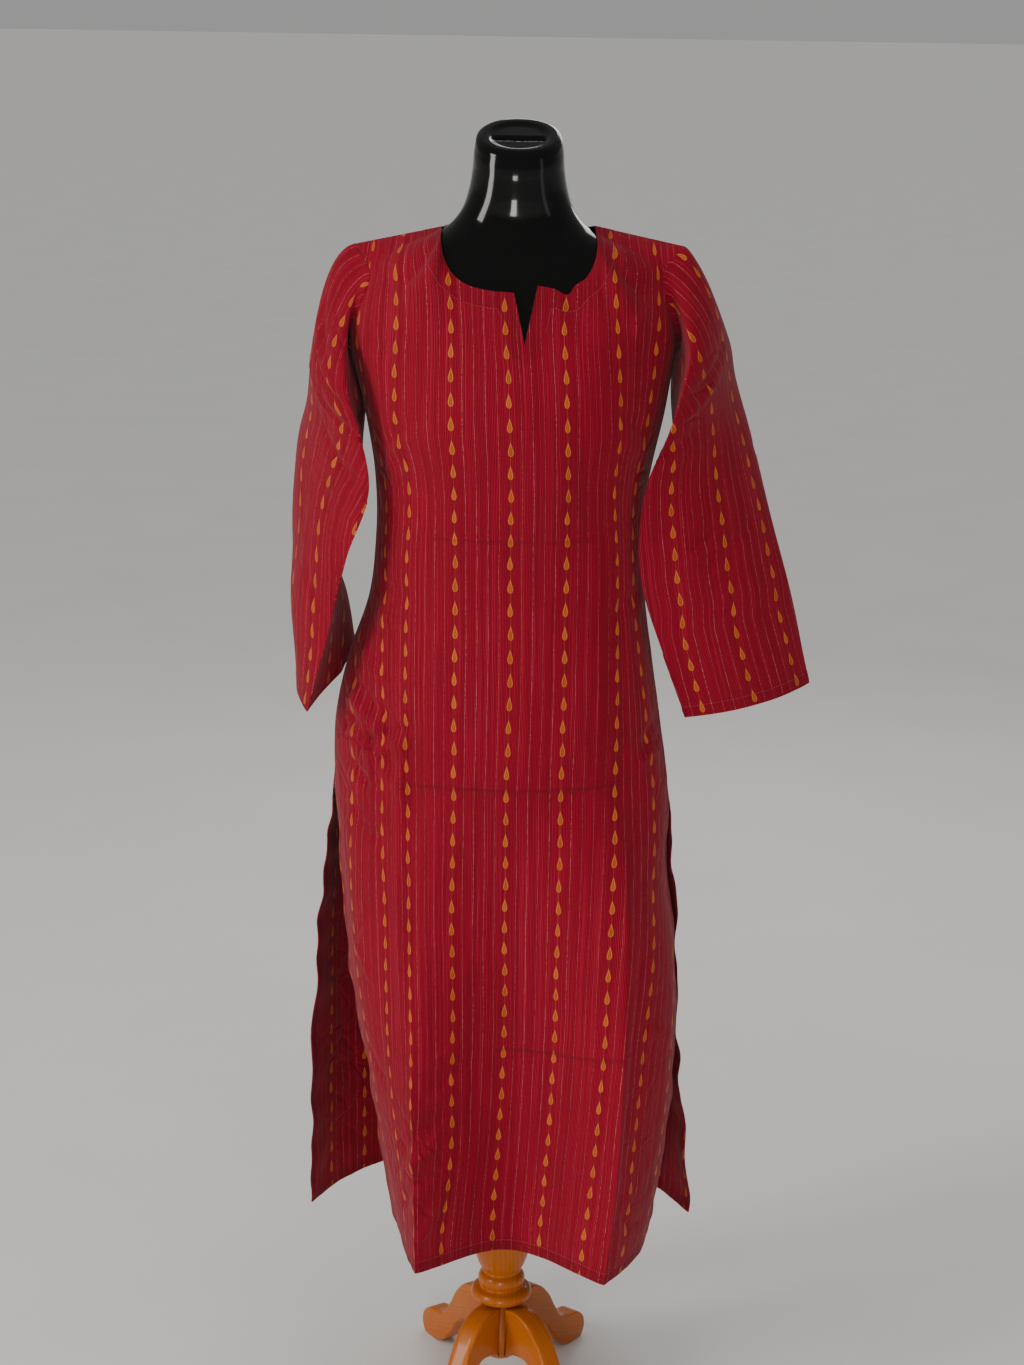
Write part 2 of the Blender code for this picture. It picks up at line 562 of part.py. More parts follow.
def tube_angles(hand):
    """Angle round the sleeve of each seam point: 0 away from the body, 90 the front edge, 180 the body."""
    share = FRONT_EDGE_START[hand]
    down = np.linspace(0.0, 1.0, YOKE_ROWS + 1)
    front = np.where(down < share, 90.0 * down / share, 90.0 + 90.0 * (down - share) / (1.0 - share))
    up = np.linspace(1.0, 0.0, YOKE_ROWS + 1)[1:-1]
    return np.radians(np.concatenate([front, 180.0 + 180.0 * (1.0 - up)]))


def tube_ring(row, hand, angles):
    """Ring of a flattened sleeve, twisted and slanted as its row says."""
    outwards = -1.0 if hand == "left" else 1.0
    turn = math.radians(row["turn"])
    edge_way = np.array([-outwards * math.sin(turn), -math.cos(turn), 0.0])
    flat_way = np.array([outwards * math.cos(turn), -math.sin(turn), 0.0])
    ring = []
    for angle in angles:
        along = math.sin(angle)
        bulge = abs(math.cos(angle))
        thick = row["outside"] if math.cos(angle) > 0 else -row["inside"]
        point = np.array([row["x"], row["y"], row["z"]])
        point = point + edge_way * row["wide"] * along + flat_way * thick * bulge
        point[2] -= row["rise"] * row["wide"] * along
        ring.append(point)
    return np.array(ring)


def sleeve_grid(hand, seam):
    """Outer surface of a sleeve from its seam to its cuff."""
    points, normals, away = seam
    outwards = -1.0 if hand == "left" else 1.0
    angles = tube_angles(hand)
    rows = SLEEVE_SECTIONS[hand]
    fields = ("x", "y", "z", "wide", "inside", "outside", "turn", "rise")
    table = np.array([[row[field] for field in fields] for row in rows], float)
    heights = -table[:, 2]
    levels = np.linspace(heights[0], heights[-1], SLEEVE_ROWS + 1)
    sampled = curve_through(heights, table, levels)
    tube = np.array([tube_ring(dict(zip(fields, values)), hand, angles) for values in sampled])
    start = points + away * SEAM_GAP
    under = (1.0 - np.cos(angles))[:, None] / 2.0
    crest = start + away * SEAM_CREST + normals * under * SEAM_CREST
    sideways = np.array([outwards, 0.0, 0.0])
    forwards = np.column_stack([np.zeros_like(angles), -np.sin(angles), np.zeros_like(angles)])
    downwards = np.array([0.0, 0.0, -SLEEVE_CAP["drop"]])
    pull = (away * SLEEVE_CAP["top_pull"] * (1.0 - under) + sideways * SLEEVE_CAP["under_pull"] * under
            + forwards * SLEEVE_CAP["spread"] + downwards * under)
    drop = unit_rows(tube[1] - tube[0])
    length = np.linalg.norm(tube[0] - crest, axis=1, keepdims=True)
    arrival = drop * length * SLEEVE_CAP["arrival"]
    cap = [eased(crest, pull, tube[0], arrival, i / CAP_ROWS) for i in range(CAP_ROWS)]
    return np.concatenate([[start], cap, tube])


def sleeve_object(name, hand, seam, material):
    points, normals, away = seam
    grid = sleeve_grid(hand, seam)
    facing = tube_normals(grid)
    facing[0] = normals
    inner = grid - facing * CLOTH_THICKNESS
    return wall_object(name, grid, inner, material, wrapped=True)


def leg_object(name, angle, material):
    """One curved plank leg of the stand, standing out at the given angle from the front."""
    direction = np.array([math.sin(math.radians(angle)), -math.cos(math.radians(angle)), 0.0])
    sideways = np.array([-direction[1], direction[0], 0.0])
    count = len(LEG_OUTLINE)
    points = []
    for side in (-0.5, 0.5):
        for row in LEG_OUTLINE:
            height = np.array([0.0, 0.0, row["z"]])
            points.append(direction * row["out"] + sideways * side * LEG_THICKNESS + height)
    faces = [tuple(range(count)), tuple(reversed(range(count, 2 * count)))]
    faces += [(k, (k + 1) % count, count + (k + 1) % count, count + k) for k in range(count)]
    return finished_object(name, points, faces, material)


def build():
    for obj in list(bpy.data.objects):
        bpy.data.objects.remove(obj, do_unlink=True)

    cotton = plain_material("crimson_cotton", (0.30, 0.010, 0.035), 0.85)
    black = plain_material("gloss_black", (0.006, 0.006, 0.007), 0.10, coat=1.0)
    wood = plain_material("varnished_wood", (0.45, 0.20, 0.035), 0.30, coat=0.6)

    form = stacked_rings("form_torso", [ring_of(section, FORM_SIDES) for section in FORM_SECTIONS], black)
    form_tree = BVHTree.FromPolygons([vertex.co.copy() for vertex in form.data.vertices],
                                     [tuple(polygon.vertices) for polygon in form.data.polygons])

    stacked_rings("form_post", [round_ring(row, POST_SIDES) for row in POST_PROFILE], wood)
    for name, angle in LEG_ANGLES.items():
        leg_object(name, angle, wood)

    front = kurta_panel("front", form_tree)
    back = kurta_panel("back", form_tree)
    for name, (grid, normals) in (("kurta_front", front), ("kurta_back", back)):
        wall_object(name, grid, grid - normals * CLOTH_THICKNESS, cotton)
    for hand in ("left", "right"):
        sleeve_object("sleeve_" + hand, hand, armhole_loop(front, back, hand), cotton)


build()
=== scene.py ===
import math

import bpy
import bmesh
import numpy as np
from mathutils import Matrix, Vector, noise
from mathutils.bvhtree import BVHTree


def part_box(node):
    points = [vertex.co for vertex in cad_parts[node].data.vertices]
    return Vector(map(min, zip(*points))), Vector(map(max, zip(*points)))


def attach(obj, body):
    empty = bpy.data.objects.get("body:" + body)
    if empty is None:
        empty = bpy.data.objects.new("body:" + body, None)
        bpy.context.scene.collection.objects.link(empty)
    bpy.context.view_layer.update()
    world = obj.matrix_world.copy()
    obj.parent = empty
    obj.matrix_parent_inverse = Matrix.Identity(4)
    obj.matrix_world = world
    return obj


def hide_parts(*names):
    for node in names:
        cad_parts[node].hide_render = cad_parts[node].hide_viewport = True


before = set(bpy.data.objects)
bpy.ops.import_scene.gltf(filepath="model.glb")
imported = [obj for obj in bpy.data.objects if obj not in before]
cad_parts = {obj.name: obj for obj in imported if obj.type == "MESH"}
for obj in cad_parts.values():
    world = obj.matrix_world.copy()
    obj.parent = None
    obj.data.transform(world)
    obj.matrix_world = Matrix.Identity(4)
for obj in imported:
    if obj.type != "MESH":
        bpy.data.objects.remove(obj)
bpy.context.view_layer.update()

postLow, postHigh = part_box("form_post")
standAxis = np.array([(postLow.x + postHigh.x) / 2, (postLow.y + postHigh.y) / 2, 0.0])
scene = bpy.context.scene


# camera at the photo's angle, taken from how the stand's feet lie on the floor

view = {
    "place": (0.0015, -2.70, 1.62), "pitchDown": 15.0, "roll": 0.9,
    "focalPixels": 2450.0, "frameHeightPixels": 1365.0, "sensor": 36.0,
}


def makeCamera():
    pitch, roll = math.radians(view["pitchDown"]), math.radians(view["roll"])
    forward = Vector((0.0, math.cos(pitch), -math.sin(pitch)))
    level = Vector((1.0, 0.0, 0.0))
    upright = level.cross(forward)
    right = level * math.cos(roll) + upright * math.sin(roll)
    up = upright * math.cos(roll) - level * math.sin(roll)
    camera = bpy.data.cameras.new("photoCamera")
    camera.sensor_width = view["sensor"]
    camera.lens = view["focalPixels"] / view["frameHeightPixels"] * view["sensor"]
    camera.clip_start, camera.clip_end = 0.05, 1500.0
    holder = bpy.data.objects.new("photoCamera", camera)
    turn = Matrix((right, up, -forward)).transposed().to_4x4()
    holder.matrix_world = Matrix.Translation(Vector(view["place"]) + Vector(standAxis)) @ turn
    scene.collection.objects.link(holder)
    scene.camera = holder


makeCamera()
print("camera set")


# small helpers for meshes

def curveThrough(places, values, wanted):
    # smooth curve through values at the given places, read at the wanted places
    places, values, wanted = np.asarray(places, float), np.asarray(values, float), np.atleast_1d(wanted)
    steps = np.diff(places)
    rates = np.diff(values, axis=0) / steps[:, None]
    slopes = np.empty_like(values)
    slopes[0], slopes[-1] = rates[0], rates[-1]
    slopes[1:-1] = rates[:-1] * steps[1:, None] + rates[1:] * steps[:-1, None]
    slopes[1:-1] /= (steps[:-1] + steps[1:])[:, None]
    k = np.clip(np.searchsorted(places, wanted) - 1, 0, len(places) - 2)
    step = steps[k][:, None]
    t = (wanted - places[k])[:, None] / step
    return eased(values[k], slopes[k] * step, values[k + 1], slopes[k + 1] * step, t)


def eased(start, startPull, end, endPull, t):
    return (start * (1 + 2 * t) * (1 - t) ** 2 + startPull * t * (1 - t) ** 2
            + end * t * t * (3 - 2 * t) + endPull * t * t * (t - 1))


def unitRows(vectors):
    return vectors / np.maximum(np.linalg.norm(vectors, axis=-1, keepdims=True), 1e-12)


def softStep(low, high, values):
    t = np.clip((np.asarray(values, float) - low) / (high - low), 0.0, 1.0)
    return t * t * (3 - 2 * t)


def runningLength(points, axis=0):
    # length from the first point on, along one way of a grid or along a line
    return np.insert(np.cumsum(np.linalg.norm(np.diff(points, axis=axis), axis=-1), axis=axis), 0, 0.0,
                     axis=axis)


def finePlaces(places, count):
    # each stretch between two places in this many even steps
    return np.concatenate([np.linspace(a, b, count, endpoint=False) for a, b in zip(places[:-1], places[1:])]
                          + [places[-1:]])


def superellipsePoint(angle, left, right, depth, squareness):
    power = 2.0 / squareness
    cosine, sine = math.cos(math.radians(angle)), math.sin(math.radians(angle))
    half = left if cosine > 0 else right
    return (-half * math.copysign(abs(cosine) ** power, cosine),
            depth * math.copysign(abs(sine) ** power, sine))


def tubeFaces(rings, sides):
    return [(i * sides + j, i * sides + (j + 1) % sides, (i + 1) * sides + (j + 1) % sides,
             (i + 1) * sides + j)
            for i in range(rings - 1) for j in range(sides)]


def endFaces(rings, sides):
    return [tuple(range(sides)), tuple((rings - 1) * sides + j for j in range(sides))]


def finishPiece(piece, replaced=()):
    if replaced:
        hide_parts(*replaced)
    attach(piece, "root")
    return piece


def meshPiece(name, points, faces, material):
    mesh = bpy.data.meshes.new(name)
    mesh.from_pydata([tuple(p) for p in np.asarray(points) + standAxis], [], faces)
    mesh.materials.append(material)
    mesh.shade_smooth()
    piece = bpy.data.objects.new(name, mesh)
    scene.collection.objects.link(piece)
    return piece


def turnFacesOut(piece, creaseAngle=60.0):
    shape = bmesh.new()
    shape.from_mesh(piece.data)
    bmesh.ops.recalc_face_normals(shape, faces=shape.faces)
    shape.to_mesh(piece.data)
    shape.free()
    piece.data.set_sharp_from_angle(angle=math.radians(creaseAngle))


def gridShell(name, outer, inner, across, along, marks, material, wrapped=False):
    # closed thin shell between two grids; across and along are its pattern coordinates in metres
    rows, columns = outer.shape[:2]
    spans = columns if wrapped else columns - 1

    def corner(i, j):
        # a point of the outer grid, and where its pattern coordinates are
        return np.stack([i * columns + j % columns, i * across.shape[1] + j])

    inwards = np.array([rows * columns, 0])[:, None]
    i, j = (index.ravel() for index in np.meshgrid(np.arange(rows - 1), np.arange(spans), indexing="ij"))
    wall = np.stack([corner(i, j), corner(i, j + 1), corner(i + 1, j + 1), corner(i + 1, j)], axis=-1)
    quads = [wall, wall[:, :, ::-1] + inwards[..., None]]
    edge = np.arange(spans)
    rims = [(corner(row, edge), corner(row, edge + 1), row > 0) for row in (0, rows - 1)]
    if not wrapped:
        edge = np.arange(rows - 1)
        rims += [(corner(edge, column), corner(edge + 1, column), column == 0) for column in (0, columns - 1)]
    for a, b, reverse in rims:
        quad = np.stack([a, b, b + inwards, a + inwards], axis=-1)
        quads.append(quad[:, :, ::-1] if reverse else quad)
    faces, reads = np.concatenate(quads, axis=1)

    piece = meshPiece(name, np.concatenate([outer.reshape(-1, 3), inner.reshape(-1, 3)]), faces.tolist(),
                      material)
    pattern = piece.data.uv_layers.new(name="clothPattern")
    flat = np.stack([across.ravel()[reads.ravel()], along.ravel()[reads.ravel()]], axis=1)
    pattern.data.foreach_set("uv", flat.astype(np.float32).ravel())
    for label, values in marks.items():
        mark = piece.data.attributes.new(label, "FLOAT", "POINT")
        mark.data.foreach_set("value", np.tile(values.ravel(), 2).astype(np.float32))
    turnFacesOut(piece)
    return piece


# shader helpers

class Wire:
    # what comes out of a shader node, to be reckoned with like a number
    def __init__(self, tree, socket):
        self.tree, self.socket = tree, socket

    def __add__(self, other):
        return calc("ADD", self, other)

    def __sub__(self, other):
        return calc("SUBTRACT", self, other)

    def __rsub__(self, other):
        return calc("SUBTRACT", other, self)

    def __mul__(self, other):
        return calc("MULTIPLY", self, other)

    def __truediv__(self, other):
        return calc("DIVIDE", self, other)

    def __pow__(self, other):
        return calc("POWER", self, other)

    def __abs__(self):
        return calc("ABSOLUTE", self)


def plug(sockets, values):
    # a wire is linked, and a number or a colour is typed in
    for label, value in values.items():
        if isinstance(value, Wire):
            value.tree.links.new(value.socket, sockets[label])
        else:
            sockets[label].default_value = (*value, 1.0) if isinstance(value, tuple) else value


def addNode(kind, inputs, output, **settings):
    # a node in the tree that its wires come from
    tree = next(value.tree for value in inputs.values() if isinstance(value, Wire))
    node = tree.nodes.new(kind)
    for label, value in settings.items():
        setattr(node, label, value)
    plug(node.inputs, inputs)
    return Wire(tree, node.outputs[output])


def readNode(tree, kind, output, **settings):
    # a node with nothing linked into it
    node = tree.nodes.new(kind)
    for label, value in settings.items():
        setattr(node, label, value)
    return Wire(tree, node.outputs[output])


def newMaterial(name):
    material = bpy.data.materials.new(name)
    material.use_nodes = True
    return material, material.node_tree, material.node_tree.nodes["Principled BSDF"]


def calc(operation, *values):
    return addNode("ShaderNodeMath", dict(enumerate(values)), 0, operation=operation)


def ramp(value, low, high, outLow=0.0, outHigh=1.0):
    given = dict(enumerate((value, low, high, outLow, outHigh)))
    return addNode("ShaderNodeMapRange", given, 0, interpolation_type="SMOOTHSTEP")


def vectorOf(x, y, z=0.0):
    return addNode("ShaderNodeCombineXYZ", {0: x, 1: y, 2: z}, 0)


def partsOf(vector):
    first = addNode("ShaderNodeSeparateXYZ", {0: vector}, 0)
    return [Wire(vector.tree, output) for output in first.socket.node.outputs]


def blendColour(factor, first, second, mode="MIX"):
    return addNode("ShaderNodeMix", {0: factor, 6: first, 7: second}, 2, data_type="RGBA", blend_type=mode)


def shaded(colour, amount):
    return blendColour(1.0, colour, vectorOf(amount, amount, amount), mode="MULTIPLY")


def noiseAt(where, scale, detail=2.0, roughness=0.5):
    given = {"Vector": where, "Scale": scale, "Detail": detail, "Roughness": roughness}
    return addNode("ShaderNodeTexNoise", given, "Fac")


def addBump(shader, heights):
    # heights are (value, distance in metres, strength), laid one over the other
    below = {}
    for value, distance, strength in heights:
        given = {"Distance": distance, "Strength": strength, "Height": value, **below}
        below = {"Normal": addNode("ShaderNodeBump", given, 0)}
    plug(shader.inputs, below)


# crimson cotton with pinstripes, running dashes and printed drops

cotton = {
    # the dark stripe colour also paints the shade below the press creases
    "ground": (0.352, 0.0060, 0.0240), "stripeDarkAndCreaseShade": (0.145, 0.0018, 0.0100),
    "stripeBright": (0.480, 0.022, 0.056), "dash": (0.66, 0.21, 0.21), "drop": (0.50, 0.112, 0.014),
    "dropRim": (0.66, 0.205, 0.044), "dropCore": (0.31, 0.046, 0.005),
    "columnPitch": 0.0610, "columnStart": -0.0030, "dropPitch": 0.0259, "dropStart": 1.2358,
    "dropTall": 0.0168, "dropWide": 0.0056, "dropSway": 0.0008,
    "coreShare": 0.50, "coreWide": 0.44, "coreRaise": 0.13,
    "dashPitch": 0.0122, "dashWide": 0.00072, "dashLong": 0.0025, "dashLag": 0.0017,
    "stripePitch": 0.0122 / 7, "threadPitch": 0.00045, "roughness": 0.88, "bandShade": 0.20,
    # how the printed lines wander: waves across and along in a metre, and how far
    "wander": [(9.0, 6.0, 0.0040), (55.0, 30.0, 0.0014), (160.0, 75.0, 0.0006)],
    "facetScale": 30.0, "facetBend": 0.055, "pressSway": 0.008, "pressHalf": 0.0036,
}
dropCrest = 0.267                # the greatest width that the drop's formula gives


def dropInset(sideways, height, tall, wide):
    # how far inside the outline of a drop a point is, in metres; the drop stands on its round end
    t = calc("MINIMUM", calc("MAXIMUM", height / tall, 0.0), 1.0)
    return t ** 0.6 * (1.0 - t) ** 1.7 * (wide / 2 / dropCrest) - abs(sideways)


def repeatAbout(value, start, pitch):
    # signed distance from the middle of the repeat, and the repeat's number
    turns = (value - start) / pitch
    number = calc("ROUND", turns)
    return (turns - number) * pitch, number


def randomOf(x, y):
    return addNode("ShaderNodeTexWhiteNoise", {"Vector": vectorOf(x, y)}, "Value", noise_dimensions="2D")


def cottonMaterial(name, columnStart, dropStart, pressLines=()):
    material, tree, shader = newMaterial(name)
    pattern = readNode(tree, "ShaderNodeUVMap", 0, uv_map="clothPattern")
    flatAcross, along, _ = partsOf(pattern)

    # the printed lines wander a little, as block-printed ones do
    across = flatAcross
    for wavesAcross, wavesAlong, reach in cotton["wander"]:
        across = across + (noiseAt(vectorOf(across * wavesAcross, along * wavesAlong), 1.0) - 0.5) * reach

    tall, wide = cotton["dropTall"], cotton["dropWide"]
    fromColumn, column = repeatAbout(across, columnStart, cotton["columnPitch"])
    fromDrop, drop = repeatAbout(along, dropStart, cotton["dropPitch"])
    chance = randomOf(column, drop)
    sideways = fromColumn + (chance - 0.5) * cotton["dropSway"]
    height = fromDrop + tall / 2
    inset = dropInset(sideways, height, tall, wide)
    coreHeight = height - tall * cotton["coreRaise"]
    coreInset = dropInset(sideways, coreHeight, tall * cotton["coreShare"], wide * cotton["coreWide"])
    inCore = 1.0 - ramp(abs(coreInset), 0.0001, 0.0005)

    fromStripe, _ = repeatAbout(across, columnStart + cotton["stripePitch"] / 2, cotton["stripePitch"])
    uneven = noiseAt(vectorOf(across * 620.0, along * 2.5), 1.0, 3.0, 0.65)
    broad = noiseAt(vectorOf(across * 95.0, along * 3.0), 1.0)
    slub = noiseAt(vectorOf(across * 60.0, along * 900.0), 1.0)
    mottle = noiseAt(vectorOf(across, along), 11.0, 4.0, 0.6)
    stripe = ramp(abs(fromStripe), 0.00015, cotton["stripePitch"] * 0.40) * ramp(broad, 0.30, 0.62, 0.68, 1.0)
    colour = blendColour(stripe, cotton["stripeDarkAndCreaseShade"], cotton["ground"])
    colour = blendColour(ramp(uneven, 0.52, 0.80) * 0.75, colour, cotton["stripeBright"])
    colour = blendColour(ramp(uneven, 0.50, 0.22) * 0.55, colour, cotton["stripeDarkAndCreaseShade"])
    colour = shaded(colour, mottle * 0.34 + slub * 0.22 + 0.72)

    # running dashes, each line with its own strength, none where the drops stand
    fromLine, line = repeatAbout(across, columnStart, cotton["dashPitch"])
    fromDash, dash = repeatAbout(along + line * cotton["dashLag"], 0.0, cotton["dashLong"])
    isLine = 1.0 - ramp(abs(fromLine), cotton["dashWide"] * 0.25, cotton["dashWide"] * 0.75)
    isDash = 1.0 - ramp(abs(fromDash), cotton["dashLong"] * 0.22, cotton["dashLong"] * 0.36)
    offColumn = ramp(abs(fromColumn), cotton["dashPitch"] * 0.4, cotton["dashPitch"] * 0.6)
    patchy = ramp(noiseAt(vectorOf(line * 3.1, along * 16.0), 1.0), 0.25, 0.65, 0.30, 1.0)
    strength = ramp(randomOf(line, 3.7), 0.0, 1.0, 0.40, 1.0) * ramp(randomOf(line, dash), 0.0, 1.0, 0.20,
                                                                     1.0)
    colour = blendColour(isLine * isDash * (offColumn * (strength * patchy)), colour, cotton["dash"])

    ink = shaded(blendColour(inCore * 0.7, cotton["drop"], cotton["dropCore"]), chance * 0.34 + 0.78)
    ink = blendColour(ramp(inset, 0.0004, 0.0009), cotton["dropRim"], ink)
    colour = blendColour(ramp(inset, -0.0002, 0.0002) * 0.94, colour, ink)
    # turned bands at hem, slits, neck and cuffs are painted a little darker: painted shade
    band = readNode(tree, "ShaderNodeAttribute", "Fac", attribute_name="turnedBand")
    colour = shaded(colour, 1.0 - band * cotton["bandShade"])

    threadTurn = 2 * math.pi / cotton["threadPitch"]
    weave = (calc("SINE", across * threadTurn) + calc("SINE", along * threadTurn)) * 0.25
    crumple = noiseAt(vectorOf(across, along), 75.0, 5.0, 0.62)
    rumple = noiseAt(vectorOf(across, along * 0.55), 28.0, 3.0, 0.55)
    bumps = [(rumple, 0.0035, 0.60), (crumple, 0.0013, 0.60), (uneven, 0.0003, 0.5), (slub, 0.0002, 0.4),
             (weave, 0.00006, 0.35)]

    # sharp crumples where the cloth is marked as crushed
    bent = (noiseAt(pattern, 17.0) - 0.5) * cotton["facetBend"]
    given = {"Vector": vectorOf(flatAcross + bent, along * 0.85 - bent), "Scale": cotton["facetScale"]}
    facets = addNode("ShaderNodeTexVoronoi", given, "Distance", feature="DISTANCE_TO_EDGE")
    crushed = readNode(tree, "ShaderNodeAttribute", "Fac", attribute_name="crushed")
    bumps.append((ramp(facets, 0.0, 0.16) * crushed, 0.0030, 0.75))

    # creases pressed in by folding, each a height, where it begins and ends, and its depth
    for pressHeight, begin, finish, depth in pressLines:
        sway = (noiseAt(vectorOf(flatAcross, 0.0), 14.0) - 0.5) * cotton["pressSway"]
        off = along - pressHeight - sway
        reach = ramp(flatAcross, begin - 0.01, begin + 0.02) * ramp(flatAcross, finish + 0.01, finish - 0.02)
        bumps.append(((1.0 - ramp(abs(off), 0.0, cotton["pressHalf"])) * reach, depth, 0.9))
        # painted shade: the cloth just below each press crease is painted darker with the dark stripe colour
        below = ramp(off, -0.0075, -0.0022) * ramp(off, 0.0005, -0.0018) * reach
        colour = blendColour(below * 0.30, colour, cotton["stripeDarkAndCreaseShade"])
    addBump(shader, bumps)
    plug(shader.inputs, {"Base Color": colour, "Roughness": mottle * 0.12 + (cotton["roughness"] - 0.06),
                         "Specular IOR Level": 0.14, "Sheen Weight": 0.06, "Sheen Roughness": 0.45})
    return material


# glossy black lacquer of the form

lacquer = {
    "colour": (0.0035, 0.0032, 0.0030), "dust": (0.10, 0.10, 0.10),
    "roughness": 0.10, "specular": 0.18, "coat": 0.34, "coatRoughness": 0.035,
}


def lacquerMaterial():
    material, tree, shader = newMaterial("glossBlack")
    where = readNode(tree, "ShaderNodeTexCoord", "Object")
    smear = noiseAt(where, 9.0, 4.0, 0.6)
    dust = noiseAt(where, 620.0, 2.0, 0.7)
    addBump(shader, ((noiseAt(where, 16.0), 0.0016, 0.30), (dust, 0.00003, 0.3)))
    plug(shader.inputs, {
        "Base Color": blendColour(ramp(dust, 0.72, 0.80) * 0.20, lacquer["colour"], lacquer["dust"]),
        "Roughness": ramp(smear, 0.35, 0.75, lacquer["roughness"], lacquer["roughness"] + 0.09),
        "Specular IOR Level": lacquer["specular"], "Coat Weight": lacquer["coat"],
        "Coat Roughness": lacquer["coatRoughness"],
    })
    return material


# honey-brown varnished wood

varnish = {
    "pale": (0.56, 0.150, 0.0080), "mid": (0.43, 0.094, 0.0045), "dark": (0.22, 0.038, 0.0020),
    "ringPitch": 0.0052, "grainStretch": 0.055, "figure": 0.45,
    "roughness": 0.30, "specular": 0.22, "coat": 0.22, "coatRoughness": 0.10,
}


def woodMaterial(name, uvGrain=False):
    # grain runs along the height, or along the second pattern coordinate of a plank
    material, tree, shader = newMaterial(name)
    if uvGrain:
        where = readNode(tree, "ShaderNodeUVMap", 0, uv_map="grain")
    else:
        where = readNode(tree, "ShaderNodeTexCoord", "Object")
    x, y, z = partsOf(where)
    stretch = varnish["grainStretch"]
    lengthwise = vectorOf(x, y * stretch, z) if uvGrain else vectorOf(x, y, z * stretch)
    rings = x / varnish["ringPitch"] + noiseAt(lengthwise, 30.0, 3.0) * 5.0
    band = calc("SINE", rings * (2 * math.pi)) * 0.5 + 0.5
    fibre = noiseAt(lengthwise, 900.0, 3.0, 0.65)
    figure = ramp(band, 0.1, 0.95) * varnish["figure"] + (0.5 - varnish["figure"] / 2)
    colour = blendColour(figure, varnish["mid"], varnish["pale"])
    colour = blendColour(ramp(noiseAt(where, 22.0, 3.0), 0.35, 0.7) * 0.45, colour, varnish["mid"])
    colour = blendColour(ramp(fibre, 0.60, 0.76) * 0.55, colour, varnish["dark"])
    addBump(shader, ((band, 0.0001, 0.15), (fibre, 0.00010, 0.40)))
    plug(shader.inputs, {
        "Base Color": colour, "Roughness": fibre * 0.10 + varnish["roughness"],
        "Specular IOR Level": varnish["specular"], "Coat Weight": varnish["coat"],
        "Coat Roughness": varnish["coatRoughness"],
    })
    return material


print("materials ready")


# the limbless form: rings by height, half width, depth to front and back, and forward tilt

form = {
    "rings": [
        (0.700, 0.150, 0.094, 0.100, 0.00), (0.712, 0.162, 0.104, 0.110, 0.00),
        (0.800, 0.170, 0.110, 0.116, 0.00), (0.890, 0.163, 0.104, 0.110, 0.00),
        (0.960, 0.146, 0.094, 0.092, 0.00), (1.040, 0.134, 0.088, 0.079, 0.00),
        (1.120, 0.138, 0.097, 0.082, 0.00), (1.200, 0.149, 0.108, 0.088, 0.00),
        (1.260, 0.158, 0.101, 0.088, 0.00), (1.310, 0.161, 0.088, 0.081, 0.00),
        (1.345, 0.161, 0.076, 0.070, 0.00), (1.368, 0.155, 0.066, 0.062, 0.00),
        (1.382, 0.138, 0.059, 0.057, 0.00), (1.392, 0.114, 0.056, 0.055, 0.00),
        (1.401, 0.091, 0.053, 0.053, 0.00), (1.412, 0.0735, 0.050, 0.051, 0.04),
        (1.426, 0.0620, 0.048, 0.050, 0.09), (1.448, 0.0540, 0.048, 0.049, 0.18),
        (1.472, 0.0500, 0.047, 0.048, 0.30), (1.494, 0.0480, 0.046, 0.047, 0.38),
        (1.504, 0.0455, 0.044, 0.045, 0.38), (1.507, 0.0410, 0.040, 0.041, 0.38),
    ],
    "squareness": 2.2, "sides": 112, "finePerRing": 7,
    "recess": 0.0030, "recessFrom": 0.86, "recessTo": 0.66,
    "slotHalf": 0.0235, "slotWide": 0.0065, "slotDeep": 0.0060, "slotY": -0.002,
    "capRings": 26, "crease": 50.0,
}


def formRing(row):
    z, half, front, back, tilt = row
    ring = []
    for k in range(form["sides"]):
        angle = 360.0 * k / form["sides"]
        depth = -front if angle < 180.0 else -back
        x, y = superellipsePoint(angle, half, half, depth, form["squareness"])
        ring.append((x, y, z + tilt * y))
    return np.array(ring)


def makeForm(material):
    table = np.array(form["rings"])
    places = runningLength(table[:, :3])
    rings = [formRing(row) for row in curveThrough(places, table, finePlaces(places, form["finePerRing"]))]
    top = rings[-1]
    centre = top.mean(axis=0)
    for k in range(1, form["capRings"]):
        share = 1.0 - k / form["capRings"]
        ring = centre + (top - centre) * share
        deep = form["recess"] * softStep(form["recessFrom"], form["recessTo"], np.full(len(ring), share))
        beyond = np.maximum(np.abs(ring[:, 0]) - form["slotHalf"], 0.0)
        aside = np.hypot(beyond, ring[:, 1] - centre[1] - form["slotY"])
        ring[:, 2] -= deep + form["slotDeep"] * softStep(form["slotWide"], form["slotWide"] * 0.55, aside)
        rings.append(ring)
    sides = form["sides"]
    points = np.concatenate(rings + [[centre - (0, 0, form["recess"] + form["slotDeep"])],
                                     [rings[0].mean(axis=0)]])
    last = (len(rings) - 1) * sides
    faces = tubeFaces(len(rings), sides)
    faces += [(last + j, last + (j + 1) % sides, len(points) - 2) for j in range(sides)]
    faces += [((j + 1) % sides, j, len(points) - 1) for j in range(sides)]
    piece = meshPiece("form_torso_shell", points, faces, material)
    turnFacesOut(piece, form["crease"])
    return finishPiece(piece, ["form_torso"])


torso = makeForm(lacquerMaterial())
torsoTree = BVHTree.FromPolygons([v.co - Vector(standAxis) for v in torso.data.vertices],
                                 [tuple(p.vertices) for p in torso.data.polygons])
print("form made")


# the kurta's panels, on the same sections as their solids, about the stand's axis

